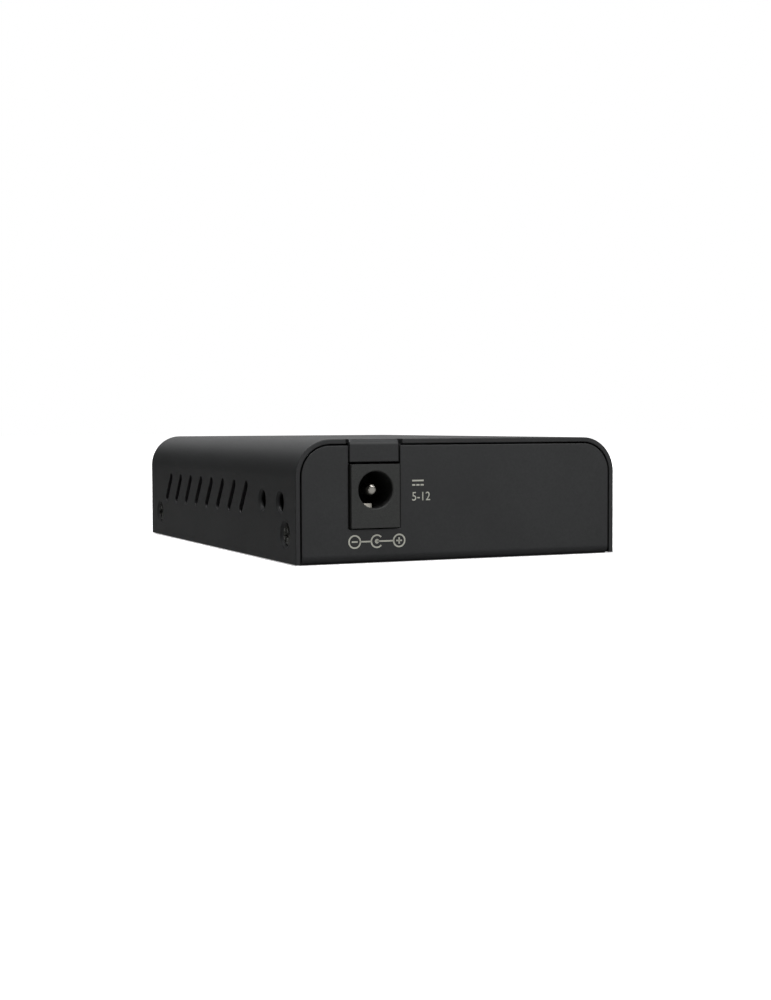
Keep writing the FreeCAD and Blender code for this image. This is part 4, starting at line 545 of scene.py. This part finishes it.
spots = add(tree, "GeometryNodeMeshGrid", {
    "Size X": span.outputs[0], "Size Y": rise.outputs[0], "Vertices X": size["Columns"],
    "Vertices Y": size["Rows"]})
panel_of_lamps = add(tree, "GeometryNodeInstanceOnPoints", {
    "Points": spots.outputs["Mesh"], "Instance": lamp.outputs["Mesh"]})
turned_up = add(tree, "GeometryNodeTransform", {
    "Geometry": panel_of_lamps.outputs[0], "Rotation": (-math.pi / 2, 0, 0)})
placed = add(tree, "GeometryNodeInstanceOnPoints", {
    "Points": size["Seats"], "Instance": turned_up.outputs[0]})
real = add(tree, "GeometryNodeRealizeInstances", {0: placed.outputs[0]})
finished = add(tree, "GeometryNodeSetMaterial", {"Geometry": real.outputs[0], "Material": size["Finish"]})
tree.links.new(finished.outputs[0], result.inputs[0])

# %% The indicator lamps
LAMP_RADIUS, LAMP_LENGTH = 1.5 * MM, 5.0 * MM
low_corner, high_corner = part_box("indicator_lamps")
seat = ((low_corner[0] + high_corner[0]) / 2, low_corner[1] + LAMP_RADIUS,
        (low_corner[2] + high_corner[2]) / 2)
domed_lamps = grow("domed_lamps", lamp_tree, [seat], {
    "Radius": LAMP_RADIUS, "Body Length": LAMP_LENGTH - LAMP_RADIUS, "Flange Radius": 1.8 * MM,
    "Flange Length": 0.8 * MM, "Columns": 2, "Rows": 3, "Pitch": 4.0 * MM}, finishes["dyed_resin"])
stand_in(domed_lamps, "indicator_lamps")

# %% [markdown]
# ## Printed marks
# Beside an inlet a maker prints what it takes: the polarity sign, which is two rings and a plug's
# end in section, and the sign for direct current with the range of volts in figures. Screen-printed
# ink is a film a few hundredths of a millimetre thick, so each mark is a set of flat strips laid
# just off the panel. Strips are plain polygons, made in code from a ring's radius and a line's
# width.

# %% The ink
ink = grained("pale_screen_ink", ("BDBDB1", "CACABF"), 0.15, (0.5, 0.62), depth=0.003, rounding=0.01)
panel_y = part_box("base_tray")[1][1]
INK_LIFT = 0.012 * MM
INK_LINE = 0.27 * MM


def strip(bm, points, width, closed=False):
    """A flat strip of the given width along points (x, z) on the panel, facing +Y."""
    count = len(points)
    rims = []
    for i, (x, z) in enumerate(points):
        before = points[i - 1] if closed or i else points[0]
        after = points[(i + 1) % count] if closed or i < count - 1 else points[-1]
        along = Vector((after[0] - before[0], after[1] - before[1])).normalized()
        side = Vector((-along.y, along.x)) * width / 2
        rims.append([bm.verts.new((x + s * side.x, panel_y + INK_LIFT, z + s * side.y)) for s in (1, -1)])
    for i in range(count if closed else count - 1):
        (a, b), (c, d) = rims[i], rims[(i + 1) % count]
        bm.faces.new((a, c, d, b))


def arc(x, z, radius, start, sweep, steps=28):
    """Points (x, z) along an arc; angles in degrees, anticlockwise for someone who faces the panel."""
    angles = [math.radians(start + sweep * i / steps) for i in range(steps + 1)]
    return [(x - radius * math.cos(a), z + radius * math.sin(a)) for a in angles]


def mark(name, bm):
    """Turns the strips into a piece of ink that rides with the box."""
    bmesh.ops.recalc_face_normals(bm, faces=bm.faces)
    for face in bm.faces:
        if face.normal.y < 0:
            face.normal_flip()
    mesh = bpy.data.meshes.new(name)
    bm.to_mesh(mesh)
    bm.free()
    mesh.materials.append(ink)
    piece = bpy.data.objects.new(name, mesh)
    bpy.context.scene.collection.objects.link(piece)
    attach(piece, "root")
    return piece


# %% The polarity sign
MINUS_X, PLUG_X, PLUS_X = 20.3 * MM, 16.17 * MM, 12.0 * MM
SIGN_Z = 3.78 * MM
RING, STROKE, DOT = 1.05 * MM, 0.55 * MM, 0.2 * MM      # radius, half length, radius
RING_STEPS, DOT_STEPS = 35, 20
NEARLY_ROUND = 360 * RING_STEPS / (RING_STEPS + 1)      # a closed strip joins its own ends
MOUTH_START, MOUTH_SWEEP = 42, 276                      # the plug's ring is open on one side
bm = bmesh.new()
for x in (MINUS_X, PLUS_X):
    strip(bm, arc(x, SIGN_Z, RING, 0, NEARLY_ROUND, RING_STEPS), INK_LINE, closed=True)
    strip(bm, [(x - STROKE, SIGN_Z), (x + STROKE, SIGN_Z)], INK_LINE)
strip(bm, [(PLUS_X, SIGN_Z - STROKE), (PLUS_X, SIGN_Z + STROKE)], INK_LINE)
strip(bm, arc(PLUG_X, SIGN_Z, RING, MOUTH_START, MOUTH_SWEEP), INK_LINE)
strip(bm, arc(PLUG_X, SIGN_Z, DOT, 0, NEARLY_ROUND, DOT_STEPS), 2 * DOT, closed=True)
strip(bm, [(MINUS_X - RING, SIGN_Z), (PLUG_X + RING, SIGN_Z)], INK_LINE)
strip(bm, [(PLUG_X, SIGN_Z), (PLUS_X + RING, SIGN_Z)], INK_LINE)
polarity_sign = mark("polarity_sign", bm)

# %% The direct-current sign: a bar over three dashes
SIGN_START, BAR_Z, DASH_Z = 9.5 * MM, 14.05 * MM, 13.3 * MM
BAR, DASH, DASH_PITCH = 2.2 * MM, 0.6 * MM, 0.8 * MM
bm = bmesh.new()
strip(bm, [(SIGN_START, BAR_Z), (SIGN_START - BAR, BAR_Z)], INK_LINE)
for step in range(3):
    left = SIGN_START - step * DASH_PITCH
    strip(bm, [(left, DASH_Z), (left - DASH, DASH_Z)], INK_LINE)
current_sign = mark("current_sign", bm)

# %% The figures
FIGURES_X, FIGURES_Z, FIGURE_HEIGHT = 9.6 * MM, 10.6 * MM, 1.5 * MM
HEIGHT_SHARE = 0.7              # a figure's height as a share of the font's size
NARROWED = 0.92


def figures(name, text, x, z, height):
    """Plain figures as a flat mesh that faces +Y, starting at x and reading towards -X."""
    curve = bpy.data.curves.new(name, "FONT")
    curve.body = text
    curve.size = height / HEIGHT_SHARE
    shape = bpy.data.objects.new(name + "_outline", curve)
    bpy.context.scene.collection.objects.link(shape)
    bpy.context.view_layer.update()
    mesh = bpy.data.meshes.new_from_object(shape.evaluated_get(bpy.context.evaluated_depsgraph_get()))
    bpy.data.objects.remove(shape)
    upright = Matrix(((-NARROWED, 0, 0, x), (0, 0, 1, panel_y + INK_LIFT), (0, 1, 0, z), (0, 0, 0, 1)))
    mesh.transform(upright)
    bm = bmesh.new()
    bm.from_mesh(mesh)
    bpy.data.meshes.remove(mesh)
    return mark(name, bm)


volt_figures = figures("volt_figures", "5-12", FIGURES_X, FIGURES_Z, FIGURE_HEIGHT)
print("marks:", polarity_sign.name, current_sign.name, volt_figures.name)

# %% [markdown]
# ## A pale table and soft light
# The table is a large pale sheet that sweeps out of view, and the light comes from broad panels. One
# overhead paints the roof and the cover's long fold, one beyond the rear, on the viewer's right,
# lights the rear panel, and a weak one beyond the front keeps the front from going black. The world
# fills in the rest. What the camera sees past the table is plain white, given by the camera ray
# alone so that it adds no light to the box.

# %% The world
world = bpy.data.worlds.new("studio")
bpy.context.scene.world = world
world.use_nodes = True
tree = world.node_tree
tree.nodes.clear()
rays = add(tree, "ShaderNodeLightPath")
seen = add(tree, "ShaderNodeBackground", {"Color": (1, 1, 1, 1), "Strength": 1.0})
fill = add(tree, "ShaderNodeBackground", {"Color": linear("DBDDD9"), "Strength": 0.04})
both = add(tree, "ShaderNodeMixShader", {
    0: rays.outputs["Is Camera Ray"], 1: fill.outputs[0], 2: seen.outputs[0]})
tree.links.new(both.outputs[0], add(tree, "ShaderNodeOutputWorld").inputs["Surface"])

# %% The table: it glows softly for the camera, less so near the box, where the contact shadow lies
TABLE_HALF = 3.0
GLOW_STARTS, GLOW_FULL = 55 * MM, 350 * MM      # distance from the box's middle
LEAST_GLOW, MOST_GLOW = 0.45, 1.1
mesh = bpy.data.meshes.new("table")
bm = bmesh.new()
bmesh.ops.create_grid(bm, x_segments=1, y_segments=1, size=TABLE_HALF)
bm.to_mesh(mesh)
bm.free()
table = bpy.data.objects.new("table", mesh)
bpy.context.scene.collection.objects.link(table)
material, tree, output, place = start_material("pale_table")
cloth = add(tree, "ShaderNodeBsdfDiffuse", {"Color": linear("F2F2F2")})
dull = add(tree, "ShaderNodeBsdfDiffuse", {"Color": linear("7C7C7C")})
away = add(tree, "ShaderNodeVectorMath", {0: place}, operation="LENGTH")
rise = add(tree, "ShaderNodeMapRange", {
    0: away.outputs["Value"], FROM_MIN: GLOW_STARTS, FROM_MAX: GLOW_FULL, TO_MIN: LEAST_GLOW,
    TO_MAX: MOST_GLOW})
glow = add(tree, "ShaderNodeEmission", {"Color": (1, 1, 1, 1), "Strength": rise.outputs[0]})
lit = add(tree, "ShaderNodeAddShader", {0: cloth.outputs[0], 1: glow.outputs[0]})
rays = add(tree, "ShaderNodeLightPath")
shown = add(tree, "ShaderNodeMixShader", {
    0: rays.outputs["Is Camera Ray"], 1: dull.outputs[0], 2: lit.outputs[0]})
tree.links.new(shown.outputs[0], output.inputs["Surface"])
mesh.materials.append(material)

# %% The panels of light
def softbox(name, place, target, size, watts):
    """A broad panel of light at a place, turned to its target; lengths in metres."""
    light = bpy.data.lights.new(name, "AREA")
    light.shape = "RECTANGLE"
    light.size, light.size_y = size
    light.energy = watts
    panel = bpy.data.objects.new(name, light)
    panel.location = place
    panel.rotation_euler = (Vector(target) - Vector(place)).to_track_quat("-Z", "Y").to_euler()
    bpy.context.scene.collection.objects.link(panel)


softbox("overhead_panel", place=(0.16, 0.1, 0.9), target=(0, 0, 0), size=(0.5, 0.6), watts=11)
softbox("rear_panel_light", place=(-0.35, 0.75, 0.45), target=(0, 0.045, 0.01), size=(0.6, 0.5), watts=4.2)
softbox("far_panel", place=(-0.25, -1.2, 0.45), target=(0, 0, 0), size=(0.8, 0.5), watts=1.2)

# %% [markdown]
# ## Finish
# The scene keeps the Standard view transform.

# %% Close the scene
bpy.context.scene.view_settings.view_transform = "Standard"
